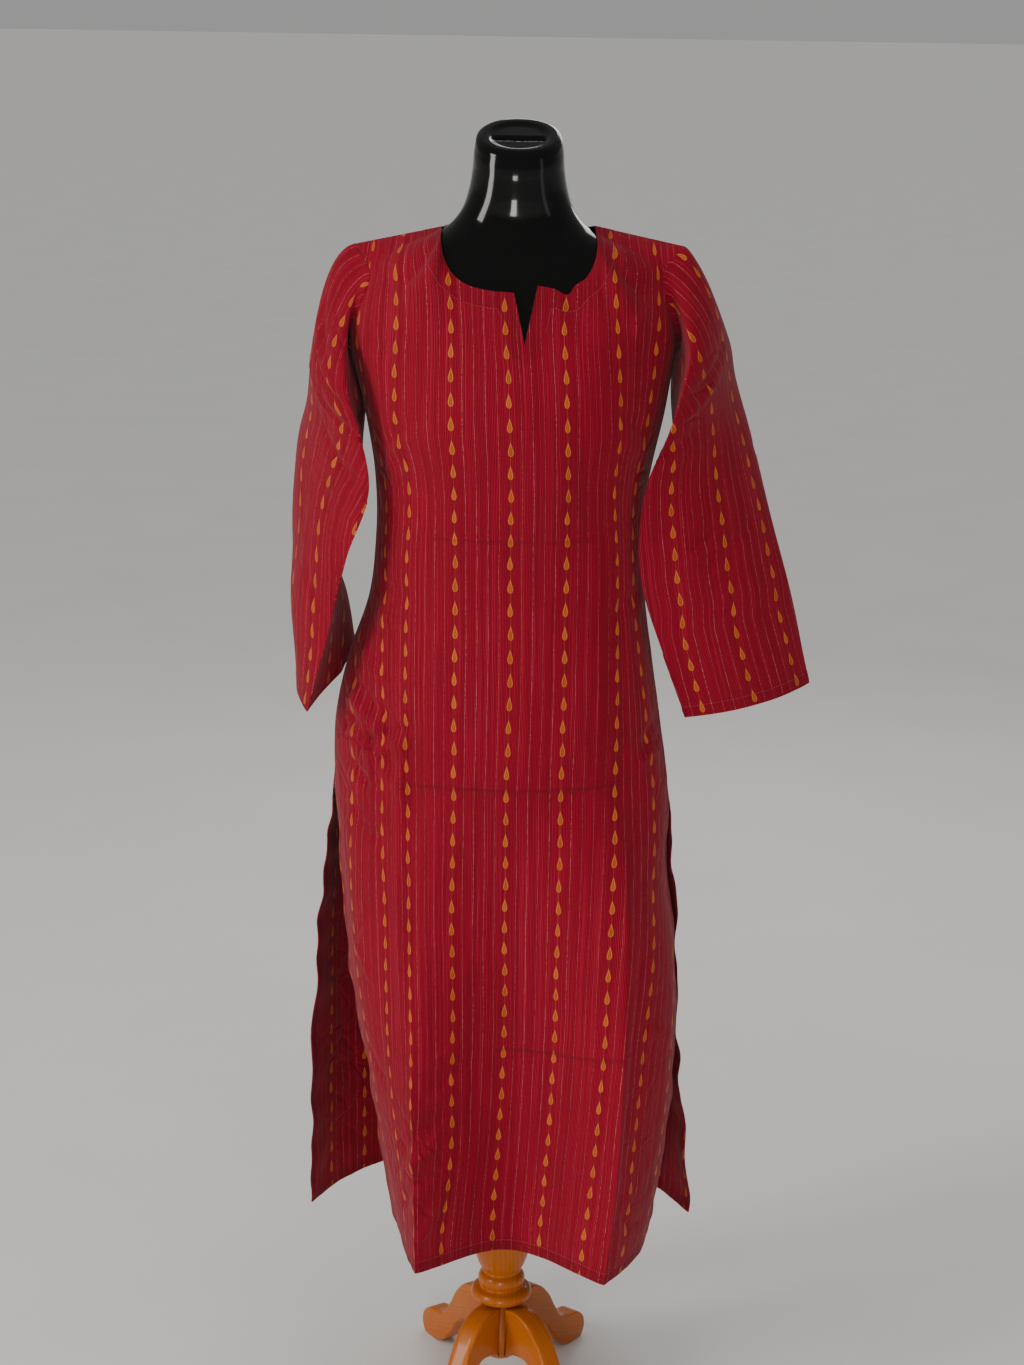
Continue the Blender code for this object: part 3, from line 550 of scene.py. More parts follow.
kurta = {
    "hemZ": 0.235, "slitTopZ": 0.790, "chestZ": 1.285, "wall": 0.0009, "seamGap": 0.0003, "seamCrest": 0.004,
    "offForm": 0.0006, "squareness": 2.2,
    "fineRows": {"skirt": 120, "body": 108, "yoke": 40}, "finePerColumn": {"front": 5, "back": 6},
    "columnsPerStretch": {"front": 5, "back": 4}, "shoulderColumns": {"front": 7, "back": 6},
    "slitColumn": 15, "slitLean": {"stretches": 0.080, "columns": 3.0, "fromZ": 1.05},
    "armholeReach": 1.5, "yokeTurn": {"fromZ": 1.345, "over": 0.055, "lean": 0.25, "lay": 0.65},
    "neckPoint": {"left": (-0.083, 0.005, 1.408), "right": (0.085, 0.005, 1.411)},
    "shoulderTip": {"left": (-0.175, 0.0, 1.389), "right": (0.178, 0.0, 1.392)},
    "backNeck": {"y": 0.059, "z": 1.391}, "yokeSpread": 1.12,
    "chestStep": 0.02, "phantomAngle": 25.0,
    "foldSharpness": {"front": 0.92, "back": 0.55}, "foldFromZ": 0.83,
    "hemBand": 0.0130, "slitBand": 0.0100, "neckBand": 0.0190, "bandRise": 0.00045,
    "neckStitchFromZ": 1.305, "fadeRows": 10.0, "middle": (100, 74),
}
# body by height: half widths left and right, depth to front and back
bodySections = [
    (0.790, 0.201, 0.181, 0.122, 0.128), (0.860, 0.199, 0.171, 0.118, 0.124),
    (0.930, 0.184, 0.160, 0.110, 0.112), (1.000, 0.161, 0.150, 0.102, 0.096),
    (1.060, 0.154, 0.147, 0.100, 0.090), (1.120, 0.153, 0.149, 0.110, 0.094),
    (1.200, 0.164, 0.163, 0.121, 0.100), (1.285, 0.184, 0.176, 0.107, 0.100),
]
keyAngles = {"front": (0.0, 30.0, 60.0, 90.0, 133.0, 157.0, 180.0),
             "back": (0.0, 30.0, 60.0, 90.0, 120.0, 150.0, 180.0)}
# skirt by height: x and y of left edge, facet and fold, centre, right fold, facet and edge
skirtSections = {
    "front": [
        (0.235, (-0.130, -0.010), (-0.118, -0.080), (-0.099, -0.160), (0.004, -0.098), (0.117, -0.180),
         (0.160, -0.105), (0.180, -0.006)),
        (0.330, (-0.149, -0.010), (-0.131, -0.085), (-0.102, -0.156), (0.004, -0.101), (0.127, -0.170),
         (0.177, -0.095), (0.193, -0.005)),
        (0.440, (-0.166, -0.008), (-0.148, -0.086), (-0.105, -0.149), (0.004, -0.106), (0.132, -0.159),
         (0.188, -0.090), (0.200, -0.004)),
        (0.560, (-0.186, -0.006), (-0.163, -0.085), (-0.104, -0.138), (0.003, -0.112), (0.135, -0.144),
         (0.187, -0.084), (0.198, -0.003)),
        (0.680, (-0.196, -0.004), (-0.172, -0.078), (-0.104, -0.124), (0.002, -0.118), (0.136, -0.121),
         (0.172, -0.072), (0.186, -0.002)),
    ],
    "back": [
        (0.235, (-0.233, 0.014), (-0.194, 0.085), (-0.138, 0.137), (0.000, 0.122), (0.132, 0.152),
         (0.189, 0.074), (0.225, 0.002)),
        (0.330, (-0.233, 0.018), (-0.196, 0.090), (-0.134, 0.142), (0.000, 0.132), (0.130, 0.149),
         (0.188, 0.080), (0.218, 0.006)),
        (0.440, (-0.229, 0.016), (-0.197, 0.088), (-0.130, 0.142), (0.000, 0.141), (0.126, 0.145),
         (0.186, 0.090), (0.210, 0.016)),
        (0.560, (-0.223, 0.012), (-0.194, 0.083), (-0.124, 0.137), (0.000, 0.147), (0.120, 0.140),
         (0.178, 0.084), (0.200, 0.012)),
        (0.680, (-0.215, 0.007), (-0.189, 0.076), (-0.116, 0.130), (0.000, 0.143), (0.108, 0.132),
         (0.167, 0.076), (0.190, 0.007)),
    ],
}
# how far the armhole cuts in, in stretches of the section, on the way up
armholeCut = {
    "up": (0.00, 0.12, 0.30, 0.45, 0.60, 0.75, 0.88, 1.00),
    "front": (0.00, 0.36, 0.62, 0.60, 0.46, 0.22, 0.05, 0.00),
    "back": (0.00, 0.32, 0.52, 0.50, 0.38, 0.18, 0.04, 0.00),
}
# neck edge of the front between the neck points; the eighth is the foot of the slit
frontNeck = [
    (-0.0830, -0.0260, 1.4038), (-0.0817, -0.0440, 1.3940), (-0.0780, -0.0570, 1.3790),
    (-0.0690, -0.0665, 1.3645), (-0.0530, -0.0735, 1.3535), (-0.0290, -0.0790, 1.3482),
    (-0.0030, -0.0805, 1.3465), (0.0092, -0.0990, 1.2935), (0.0225, -0.0780, 1.3540),
    (0.0400, -0.0770, 1.3507), (0.0540, -0.0755, 1.3448), (0.0625, -0.0710, 1.3545),
    (0.0745, -0.0645, 1.3625), (0.0835, -0.0530, 1.3790), (0.0860, -0.0350, 1.3965),
]


def panelKeys(side):
    sign = -1.0 if side == "front" else 1.0
    heights, rows = [], []
    for section in skirtSections[side]:
        points = [np.array(point) for point in section[1:]]
        heights.append(section[0])
        rows.append([2 * points[0] - points[1]] + points + [2 * points[-1] - points[-2]])
    angles = (-kurta["phantomAngle"],) + keyAngles[side] + (180.0 + kurta["phantomAngle"],)
    for z, left, right, front, back in bodySections:
        depth = sign * (front if side == "front" else back)
        heights.append(z)
        rows.append([superellipsePoint(angle, left, right, depth, kurta["squareness"]) for angle in angles])
    return np.array(heights), np.array(rows)


panelKeyRows = {side: panelKeys(side) for side in ("front", "back")}


def sectionAt(side, level, stretches):
    heights, keys = panelKeyRows[side]
    keyPoints = curveThrough(heights, keys.reshape(len(keys), -1), [level]).reshape(-1, 2)
    knots = runningLength(keyPoints)
    whole = np.clip(stretches.astype(int), 0, 5)
    at = knots[whole + 1] + (stretches - whole) * (knots[whole + 2] - knots[whole + 1])
    plan = curveThrough(knots, keyPoints, at)
    fold = kurta["foldSharpness"][side] * softStep(kurta["foldFromZ"], kurta["hemZ"] + 0.10, level)
    if fold > 0.0:
        for first, last in ((0, 3), (3, 5), (5, 8)):
            span = (at >= knots[first]) & (at <= knots[last])
            corner = curveThrough(knots[first:last + 1], keyPoints[first:last + 1], at[span])
            plan[span] = plan[span] * (1.0 - fold) + corner * fold
    return np.column_stack([plan, np.full(len(plan), level)])


def columnStretches(side, level, column):
    stretches = column / kurta["columnsPerStretch"][side]
    if side == "front":
        lean = kurta["slitLean"]
        climb = softStep(lean["fromZ"], kurta["chestZ"], level)
        near = np.exp(-((column - kurta["slitColumn"]) / lean["columns"]) ** 2)
        stretches = stretches + lean["stretches"] * climb * near
    return stretches


def neckLine(side, column, shoulder, last):
    # top edge of a panel at any column: shoulder seam, neckline, shoulder seam
    left, right = np.array(kurta["neckPoint"]["left"]), np.array(kurta["neckPoint"]["right"])
    tipLeft, tipRight = np.array(kurta["shoulderTip"]["left"]), np.array(kurta["shoulderTip"]["right"])
    if side == "front":
        edge = np.array([left] + [np.array(p) for p in frontNeck] + [right])
        slit = kurta["slitColumn"] - shoulder
        places = np.arange(len(edge), dtype=float)
        wanted = np.clip(column - shoulder, 0.0, len(edge) - 1.0)
        neck = np.column_stack([np.interp(wanted, places, edge[:, k]) for k in range(3)])
        low, high = wanted <= slit - 1, wanted >= slit + 1
        neck[low] = curveThrough(places[:slit], edge[:slit], wanted[low])
        neck[high] = curveThrough(places[slit + 1:], edge[slit + 1:], wanted[high])
    else:
        t = np.clip((column - shoulder) / (last - 2 * shoulder), 0.0, 1.0)
        neck = left + (right - left) * t[:, None]
        dip = np.sin(np.pi * t) ** 0.8
        neck[:, 1] += dip * (kurta["backNeck"]["y"] - neck[:, 1])
        neck[:, 2] += dip ** 1.5 * (kurta["backNeck"]["z"] - neck[:, 2])
    rise = np.clip(column / shoulder, 0.0, 1.0)[:, None]
    fall = np.clip((last - column) / shoulder, 0.0, 1.0)[:, None]
    edge = np.where(rise < 1.0, tipLeft * (1 - rise) + left * rise, neck)
    return np.where(fall < 1.0, tipRight * (1 - fall) + right * fall, edge)


def panelGrid(side):
    # points and pattern coordinates of a panel, hem at row 0
    shoulder = kurta["shoulderColumns"][side]
    last = kurta["columnsPerStretch"][side] * 6
    column = np.linspace(0.0, last, last * kurta["finePerColumn"][side] + 1)
    fine = kurta["fineRows"]
    levels = np.concatenate([np.linspace(kurta["hemZ"], kurta["slitTopZ"], fine["skirt"] + 1),
                             np.linspace(kurta["slitTopZ"], kurta["chestZ"], fine["body"] + 1)[1:]])
    lower = np.array([sectionAt(side, level, columnStretches(side, level, column)) for level in levels])
    across = np.array([s - np.interp(0.0, row[:, 0], s) for s, row in zip(runningLength(lower, 1), lower)])
    along = kurta["chestZ"] - runningLength(lower[::-1])[::-1]

    give = np.clip(1.0 - column / (kurta["armholeReach"] * shoulder), 0.0, 1.0)
    dense = np.linspace(0.0, 6.0, 1201)
    denseChest = sectionAt(side, kurta["chestZ"], dense)
    denseLength = runningLength(denseChest)
    denseLength -= np.interp(0.0, denseChest[:, 0], denseLength)
    backwards = 1.0 if side == "front" else -1.0
    turn = kurta["yokeTurn"]
    rows, acrossRows, rises = [], [], [np.zeros((len(column), 2))]
    for i in range(1, fine["yoke"] + 1):
        t = i / fine["yoke"]
        cut = float(curveThrough(armholeCut["up"], np.array(armholeCut[side])[:, None], [t])[0, 0])
        slide = cut * (give - give[::-1])
        stretches = columnStretches(side, kurta["chestZ"], column) + slide
        chest = sectionAt(side, kurta["chestZ"], stretches)
        rise = unitRows(chest - sectionAt(side, kurta["chestZ"] - kurta["chestStep"], stretches))
        end = neckLine(side, column + slide * kurta["columnsPerStretch"][side], shoulder, last)
        length = np.linalg.norm(end - chest, axis=1, keepdims=True)
        over = np.clip((end[:, 2] - turn["fromZ"]) / turn["over"], 0.0, 1.0)
        back = backwards * (turn["lean"] + (1.0 - turn["lean"]) * over)
        lean = unitRows(np.column_stack([0 * over, back, 1.0 - turn["lay"] * over]))
        points = eased(chest, rise * length, end, lean * length, t)
        rows.append(points)
        spread = (points[:, 0] - chest[:, 0]) * kurta["yokeSpread"]
        acrossRows.append(np.interp(stretches, dense, denseLength) + spread)
        rises.append(points[:, 1:] - chest[:, 1:])
    rises = np.array(rises)
    climb = kurta["chestZ"] + np.cumsum(np.linalg.norm(np.diff(rises, axis=0), axis=2), axis=0)
    grid = np.concatenate([lower, rows])
    if side == "front":
        layBesideSlit(grid)
    return grid, np.concatenate([across, acrossRows]), np.concatenate([along, climb])


def layBesideSlit(grid):
    # the columns that rise to the foot of the slit lie between those beside it
    first = kurta["fineRows"]["skirt"] + kurta["fineRows"]["body"] + 1
    step = kurta["finePerColumn"]["front"]
    middle = kurta["slitColumn"] * step
    left, right = grid[first:, middle - step], grid[first:, middle + step]
    for k in range(1 - step, step):
        points = grid[first:, middle + k]
        share = np.clip((points[:, 0] - left[:, 0]) / (right[:, 0] - left[:, 0]), 0.0, 1.0)
        atLeft = np.interp(points[:, 2], left[:, 2], left[:, 1])
        atRight = np.interp(points[:, 2], right[:, 2], right[:, 1])
        points[:, 1] = atLeft * (1 - share) + atRight * share


def gridNormals(grid, outwards, rounds=3):
    normals = unitRows(np.cross(np.gradient(grid, axis=1), np.gradient(grid, axis=0)))
    normals *= np.sign(np.sum(normals[5, normals.shape[1] // 2] * outwards))
    for _ in range(rounds):
        padded = np.pad(normals, ((1, 1), (1, 1), (0, 0)), mode="edge")
        beside = padded[2:, 1:-1] + padded[:-2, 1:-1] + padded[1:-1, 2:] + padded[1:-1, :-2]
        normals = unitRows(2 * normals + beside)
    return normals


# creases and folds, in pattern coordinates: from, to, half width, height (troughs are negative)
frontCreases = [
    # press creases across the skirt
    ((-0.128, 0.803), (0.120, 0.805), 0.007, 0.0010), ((-0.128, 0.791), (0.120, 0.793), 0.008, -0.0010),
    ((-0.010, 0.490), (0.150, 0.494), 0.007, 0.0010), ((-0.010, 0.478), (0.150, 0.482), 0.008, -0.0010),
    # upright fold at the left, from the waist to the hem
    ((-0.122, 0.905), (-0.125, 0.520), 0.007, 0.0022), ((-0.108, 0.900), (-0.108, 0.560), 0.010, -0.0022),
    ((0.128, 0.760), (0.150, 0.330), 0.008, 0.0018),
    # slack pulls near the bust and waist
    ((-0.150, 1.180), (-0.105, 1.215), 0.008, -0.0016), ((-0.160, 1.150), (-0.118, 1.190), 0.007, 0.0014),
    ((0.160, 1.190), (0.112, 1.225), 0.008, -0.0016), ((0.170, 1.160), (0.125, 1.195), 0.008, 0.0014),
    ((-0.165, 1.020), (-0.105, 1.000), 0.009, -0.0016), ((-0.170, 0.985), (-0.120, 0.972), 0.007, 0.0014),
    ((0.165, 1.010), (0.110, 0.990), 0.009, -0.0015),
    # crumples at the left hip and above the slit
    ((-0.205, 0.905), (-0.130, 0.870), 0.007, -0.0036), ((-0.210, 0.885), (-0.120, 0.842), 0.006, 0.0030),
    ((-0.180, 0.838), (-0.105, 0.866), 0.005, -0.0034), ((-0.205, 0.862), (-0.150, 0.832), 0.005, -0.0030),
    ((-0.215, 0.840), (-0.195, 0.862), 0.004, -0.0028), ((-0.170, 0.826), (-0.110, 0.846), 0.005, 0.0026),
    ((-0.205, 0.815), (-0.150, 0.786), 0.006, -0.0028), ((-0.150, 0.812), (-0.112, 0.778), 0.006, 0.0024),
    ((-0.195, 0.940), (-0.140, 0.912), 0.006, 0.0022), ((-0.190, 0.760), (-0.140, 0.720), 0.007, -0.0022),
    ((-0.150, 0.900), (-0.134, 0.800), 0.005, -0.0020), ((-0.172, 0.870), (-0.160, 0.770), 0.005, 0.0020),
    ((0.225, 0.870), (0.160, 0.842), 0.007, -0.0022), ((0.215, 0.835), (0.150, 0.818), 0.006, 0.0018),
    # lower left corner and the sweep to the hem
    ((-0.150, 0.360), (-0.070, 0.425), 0.009, -0.0030), ((-0.148, 0.335), (-0.080, 0.388), 0.007, 0.0024),
    ((-0.170, 0.290), (-0.098, 0.345), 0.008, -0.0030), ((-0.120, 0.255), (-0.075, 0.320), 0.007, 0.0022),
    ((-0.090, 0.450), (-0.030, 0.480), 0.006, -0.0016), ((-0.095, 0.480), (-0.045, 0.500), 0.005, 0.0014),
    ((-0.205, 0.600), (-0.160, 0.560), 0.006, 0.0018), ((-0.195, 0.470), (-0.160, 0.440), 0.006, -0.0018),
    ((0.180, 0.520), (0.235, 0.490), 0.007, 0.0016), ((0.150, 0.300), (0.215, 0.270), 0.007, -0.0018),
    # soft pulls from the neck and the armholes
    ((-0.075, 1.372), (-0.110, 1.335), 0.008, -0.0012), ((0.078, 1.372), (0.110, 1.330), 0.008, -0.0012),
    ((-0.170, 1.300), (-0.135, 1.268), 0.009, -0.0018), ((0.172, 1.300), (0.140, 1.268), 0.009, -0.0018),
    ((0.150, 1.335), (0.132, 1.300), 0.007, 0.0014),
]
backCreases = [
    ((-0.140, 0.774), (0.130, 0.776), 0.0035, 0.0013), ((-0.130, 0.452), (0.140, 0.455), 0.0035, 0.0012),
    ((-0.130, 0.444), (0.140, 0.447), 0.006, -0.0010),
    ((-0.075, 1.030), (0.070, 1.022), 0.010, -0.0030), ((-0.095, 1.000), (0.060, 0.992), 0.009, 0.0024),
    ((-0.060, 0.968), (0.090, 0.962), 0.009, -0.0026), ((-0.110, 1.075), (-0.020, 1.060), 0.009, -0.0020),
    ((0.020, 1.062), (0.110, 1.080), 0.009, -0.0020), ((-0.200, 0.880), (-0.130, 0.850), 0.007, -0.0024),
    ((0.200, 0.885), (0.130, 0.850), 0.007, -0.0024), ((-0.215, 0.840), (-0.150, 0.815), 0.006, 0.0020),
    ((0.215, 0.845), (0.150, 0.812), 0.006, 0.0020), ((-0.085, 0.700), (-0.100, 0.330), 0.010, 0.0026),
    ((0.075, 0.720), (0.095, 0.310), 0.010, 0.0028), ((-0.010, 0.660), (-0.004, 0.270), 0.012, -0.0026),
    ((-0.190, 0.380), (-0.130, 0.420), 0.007, -0.0022), ((0.190, 0.350), (0.130, 0.390), 0.007, -0.0022),
    ((-0.120, 1.330), (-0.080, 1.290), 0.009, -0.0016), ((0.120, 1.330), (0.080, 1.290), 0.009, -0.0016),
    ((-0.165, 1.240), (-0.120, 1.200), 0.009, 0.0018), ((0.165, 1.240), (0.125, 1.200), 0.009, 0.0018),
]
# long darts from bust to hip: where the seam runs and how firmly it is drawn in, by height
darts = [
    {"height": (0.66, 0.86, 1.06, 1.20), "seam": (-0.134, -0.138, -0.141, -0.127),
     "firm": (0.0, 1.0, 1.0, 0.0)},
    {"height": (0.70, 0.86, 1.06, 1.205), "seam": (0.131, 0.133, 0.131, 0.122), "firm": (0.0, 1.0, 1.0, 0.0)},
]
dartSeam = {"wide": 0.0022, "deep": -0.0015}


def dartRelief(across, along):
    # the dent of each dart's seam
    height = np.zeros_like(across)
    for dart in darts:
        off = across - np.interp(along, dart["height"], dart["seam"])
        firm = np.interp(along, dart["height"], dart["firm"])
        height += dartSeam["deep"] * np.exp(-(off / dartSeam["wide"]) ** 2) * firm
    return height


# where the columns of drops run on the front: height, then how far across each column is, from left
# to right; darts, folds and the open neck slit draw them together or apart
columnRuns = [
    (0.260, -0.208, -0.160, -0.1220, -0.0820, -0.0115, 0.0470, 0.1091, 0.1810),
    (0.375, -0.203, -0.155, -0.1180, -0.0662, -0.0059, 0.0534, 0.1171, 0.1746),
    (0.475, -0.196, -0.150, -0.1130, -0.0635, -0.0020, 0.0565, 0.1188, 0.1735),
    (0.640, -0.203, -0.142, -0.1125, -0.0625, -0.0022, 0.0574, 0.1173, 0.1840),
    (0.770, -0.190, -0.146, -0.1153, -0.0617, -0.0030, 0.0573, 0.1213, 0.1830),
    (0.900, -0.198, -0.147, -0.1188, -0.0621, -0.0017, 0.0589, 0.1246, 0.1660),
    (1.040, -0.208, -0.157, -0.1218, -0.0630, -0.0018, 0.0593, 0.1235, 0.1470),
    (1.150, -0.215, -0.166, -0.1245, -0.0645, -0.0030, 0.0586, 0.1163, 0.1500),
    (1.198, -0.240, -0.190, -0.1387, -0.0675, -0.0049, 0.0573, 0.1207, 0.1590),
    (1.250, -0.245, -0.192, -0.1363, -0.0689, -0.0068, 0.0555, 0.1159, 0.1616),
    (1.316, -0.245, -0.190, -0.1330, -0.0702, -0.0111, 0.0514, 0.1098, 0.1671),
    (1.365, -0.245, -0.190, -0.1367, -0.0732, -0.0120, 0.0500, 0.1084, 0.1800),
]


def onColumns(across, along):
    # pattern coordinate of each point, from where the columns run at its height
    heights = np.array([row[0] for row in columnRuns])
    runs = curveThrough(heights, [row[1:] for row in columnRuns],
                        np.clip(along.ravel(), heights[0], heights[-1]))
    printed = cotton["columnStart"] + cotton["columnPitch"] * np.arange(-4, 4)
    flat = across.ravel()
    pattern = np.where(flat < runs[:, 0], printed[0] + flat - runs[:, 0], printed[-1] + flat - runs[:, -1])
    for k in range(len(printed) - 1):
        share = (flat - runs[:, k]) / (runs[:, k + 1] - runs[:, k])
        pattern = np.where((share >= 0.0) & (share <= 1.0), printed[k] + share * cotton["columnPitch"],
                           pattern)
    return pattern.reshape(across.shape)


drape = {
    "front": {
        "creases": frontCreases, "strength": 1.5, "swell": 0.0022, "ripple": 0.0010, "grain": 0.00050,
        "seed": 3.0, "edgeWave": 0.0050,
        # crushed places: middle, reach, and how much
        "crushed": [((-0.185, 0.850), (0.060, 0.085), 1.0), ((-0.120, 0.330), (0.060, 0.100), 0.8),
                    ((-0.205, 0.640), (0.030, 0.150), 0.5), ((-0.165, 1.150), (0.030, 0.070), 0.8),
                    ((0.160, 1.160), (0.030, 0.070), 0.8), ((0.215, 0.800), (0.045, 0.120), 0.6),
                    ((-0.160, 1.000), (0.030, 0.080), 0.6), ((0.185, 0.400), (0.040, 0.160), 0.4),
                    ((0.0, 0.60), (0.14, 0.30), 0.12)],
    },
    "back": {
        "creases": backCreases, "strength": 1.5, "swell": 0.0030, "ripple": 0.0014, "grain": 0.00050,
        "seed": 11.0, "edgeWave": 0.0060,
        "crushed": [((-0.185, 0.830), (0.060, 0.090), 0.8), ((0.190, 0.830), (0.060, 0.090), 0.8),
                    ((0.0, 1.020), (0.110, 0.070), 0.5), ((-0.210, 0.420), (0.050, 0.200), 0.7),
                    ((0.210, 0.420), (0.050, 0.200), 0.6), ((0.0, 0.55), (0.16, 0.30), 0.15)],
    },
}
# waves across and along in a metre, and where the cloth ripples most: height, reach, amount
clothWaves = {"swell": (13.0, 7.0), "ripple": (45.0, 30.0), "grain": (95.0, 34.0), "edge": (9.0, 24.0)}
rippledAt = [(0.80, 0.14, 1.0), (0.32, 0.16, 0.7)]
rippledElsewhere = 0.35
creaseBow = {"share": 0.35, "turn": 90.0}


def crushedAt(across, along, places):
    crushed = np.zeros_like(across)
    for (u, v), (spanAcross, spanAlong), amount in places:
        near = np.exp(-((across - u) / spanAcross) ** 2 - ((along - v) / spanAlong) ** 2)
        crushed = np.maximum(crushed, amount * near)
    return crushed


def bandTo(width, distance):
    # 1 in a turned band of this width, soft at its edge
    return softStep(width + 0.002, width - 0.001, distance)


def creaseHeight(across, along, creases):
    total = np.zeros_like(across)
    for (u0, v0), (u1, v1), wide, high in creases:
        du, dv = u1 - u0, v1 - v0
        length = math.hypot(du, dv)
        t = ((across - u0) * du + (along - v0) * dv) / length ** 2
        bow = creaseBow["share"] * wide * np.sin(np.clip(t, 0, 1) * math.pi * 2.0 + u0 * creaseBow["turn"])
        off = ((across - u0) * dv - (along - v0) * du) / length + bow
        ends = softStep(-0.10, 0.25, t) * softStep(1.10, 0.75, t)
        total += high * ends * np.exp(-(off / wide) ** 2)
    return total


def softNoise(across, along, scaleAcross, scaleAlong, seed):
    places = zip(across.ravel() * scaleAcross, along.ravel() * scaleAlong)
    return np.array([noise.noise(Vector((u, v, seed))) for u, v in places]).reshape(across.shape)


def pushedOff(grid, tree, clearance, rows, rounds=3, beside=0.003):
    # a point past the edge of the other surface is left alone
    for _ in range(rounds):
        moved = 0
        for i in rows:
            for j in range(grid.shape[1]):
                seat, normal, _, _ = tree.find_nearest(Vector(grid[i, j]), 0.06)
                if seat is None:
                    continue
                offset = Vector(grid[i, j]) - seat
                off = float(offset.dot(normal))
                if clearance - off > 1e-6 and (offset - normal * off).length < beside:
                    grid[i, j] += np.array(normal) * (clearance - off)
                    moved += 1
        if not moved:
            break
    return grid


def nearestToLine(points, line):
    # distance of each point to a polyline
    best = np.full(points.shape[:-1], 1e9)
    for a, b in zip(line[:-1], line[1:]):
        d = b - a
        t = np.clip(np.sum((points - a) * d, axis=-1) / max(np.dot(d, d), 1e-12), 0.0, 1.0)
        best = np.minimum(best, np.linalg.norm(points - a - t[..., None] * d, axis=-1))
    return best


def makePanel(side, material):
    sign = -1.0 if side == "front" else 1.0
    grid, across, along = panelGrid(side)
    fine = kurta["fineRows"]
    firstYoke = fine["skirt"] + fine["body"]
    normals = gridNormals(grid, np.array((0.0, sign, 0.0)))
    look = drape[side]
    columns = np.linspace(0.0, 1.0, grid.shape[1])
    insideEdges = (softStep(0.0, 0.04, columns) * softStep(1.0, 0.96, columns))[None, :]
    free = softStep(fine["skirt"] - 2, fine["skirt"] - 16, np.arange(len(grid)))[:, None]
    insideEdges = insideEdges + (1.0 - insideEdges) * free
    height = look["strength"] * creaseHeight(across, along, look["creases"])
    dartHeight = dartRelief(across, along) if side == "front" else 0.0
    height += look["swell"] * softNoise(across, along, *clothWaves["swell"], look["seed"])
    rippled = sum(amount * np.exp(-((along - middle) / reach) ** 2) for middle, reach, amount in rippledAt)
    rippled = rippled + rippledElsewhere
    height += look["ripple"] * rippled * softNoise(across, along, *clothWaves["ripple"], look["seed"] + 5.0)
    height += look["grain"] * rippled * softNoise(across, along, *clothWaves["grain"], look["seed"] + 9.0)
    nearEdge = softStep(0.14, 0.0, columns) + softStep(0.86, 1.0, columns)
    wave = softNoise(across * 0.2, along, *clothWaves["edge"], look["seed"] + 15.0)
    height += look["edgeWave"] * nearEdge * free * wave
    height = height * insideEdges + dartHeight
    topFade = np.clip((len(grid) - 1 - np.arange(len(grid))) / kurta["fadeRows"], 0.0, 1.0)
    height *= topFade[:, None]
    grid = grid + normals * height[..., None]

    # bands of turned cloth at hem, slits and neck stand a little proud
    fromHem, fromLeft = runningLength(grid), runningLength(grid, 1)
    fromSide = np.minimum(fromLeft, fromLeft[:, -1:] - fromLeft)
    inSkirt = softStep(fine["skirt"] + 2, fine["skirt"] - 4, np.arange(grid.shape[0]))[:, None]
    shoulder = kurta["shoulderColumns"][side] * kurta["finePerColumn"][side]
    neck = grid[-1, shoulder:grid.shape[1] - shoulder]
    fromNeck = np.full(across.shape, 1.0)
    fromNeck[firstYoke - 12:] = nearestToLine(grid[firstYoke - 12:], neck)
    band = np.maximum(bandTo(kurta["hemBand"], fromHem), bandTo(kurta["slitBand"], fromSide) * inSkirt)
    band = np.maximum(band, 0.6 * bandTo(kurta["neckBand"], fromNeck))
    grid = grid + normals * (kurta["bandRise"] * band)[..., None]

    # the side and shoulder seams stay where the solids have them
    seam = slice(fine["skirt"], firstYoke + 1)
    for column in (0, -1):
        grid[seam, column, 1] = sign * kurta["seamGap"] / 2
    grid = pushedOff(grid, torsoTree, kurta["offForm"] + kurta["wall"],
                     range(fine["skirt"] - 20, grid.shape[0]))
    normals = gridNormals(grid, np.array((0.0, sign, 0.0)), 2)
    if side == "front":
        middle = kurta["slitColumn"] * kurta["finePerColumn"]["front"]
        normals[firstYoke:, middle] = normals[firstYoke, middle]
    for column in (0, -1):
        normals[seam, column, 1] = 0.0
    for seam in (slice(shoulder + 1), slice(grid.shape[1] - shoulder - 1, None)):
        normals[-1, seam, 1] = 0.0
        grid[-1, seam, 1] += sign * kurta["seamGap"] / 2
    normals = unitRows(normals)
    inner = grid - normals * (kurta["wall"] + kurta["bandRise"] * band)[..., None]
    marks = {"turnedBand": band, "crushed": crushedAt(across, along, look["crushed"])}
    pattern = onColumns(across, along) if side == "front" else across
    piece = gridShell("kurta_%s_cloth" % side, grid, inner, pattern, along, marks, material)
    finishPiece(piece, ["kurta_" + side])
    print(side, "panel made, hem across", round(float(np.ptp(across[0])), 3))
    return {"piece": piece, "grid": grid, "normals": normals, "fromHem": fromHem, "fromSide": fromSide,
            "fromNeck": fromNeck, "firstYoke": firstYoke}


pressed = [(0.803, -0.128, 0.150, 0.0011), (0.490, -0.020, 0.160, 0.0010), (1.080, -0.100, 0.100, 0.0004)]
bodyCotton = cottonMaterial("crimsonCottonBody", cotton["columnStart"], cotton["dropStart"], pressed)
front = makePanel("front", bodyCotton)
back = makePanel("back", bodyCotton)


# sleeves: flattened tubes; per row x, y, z, half width, thickness inside and outside, turn,
# and rise of the back edge

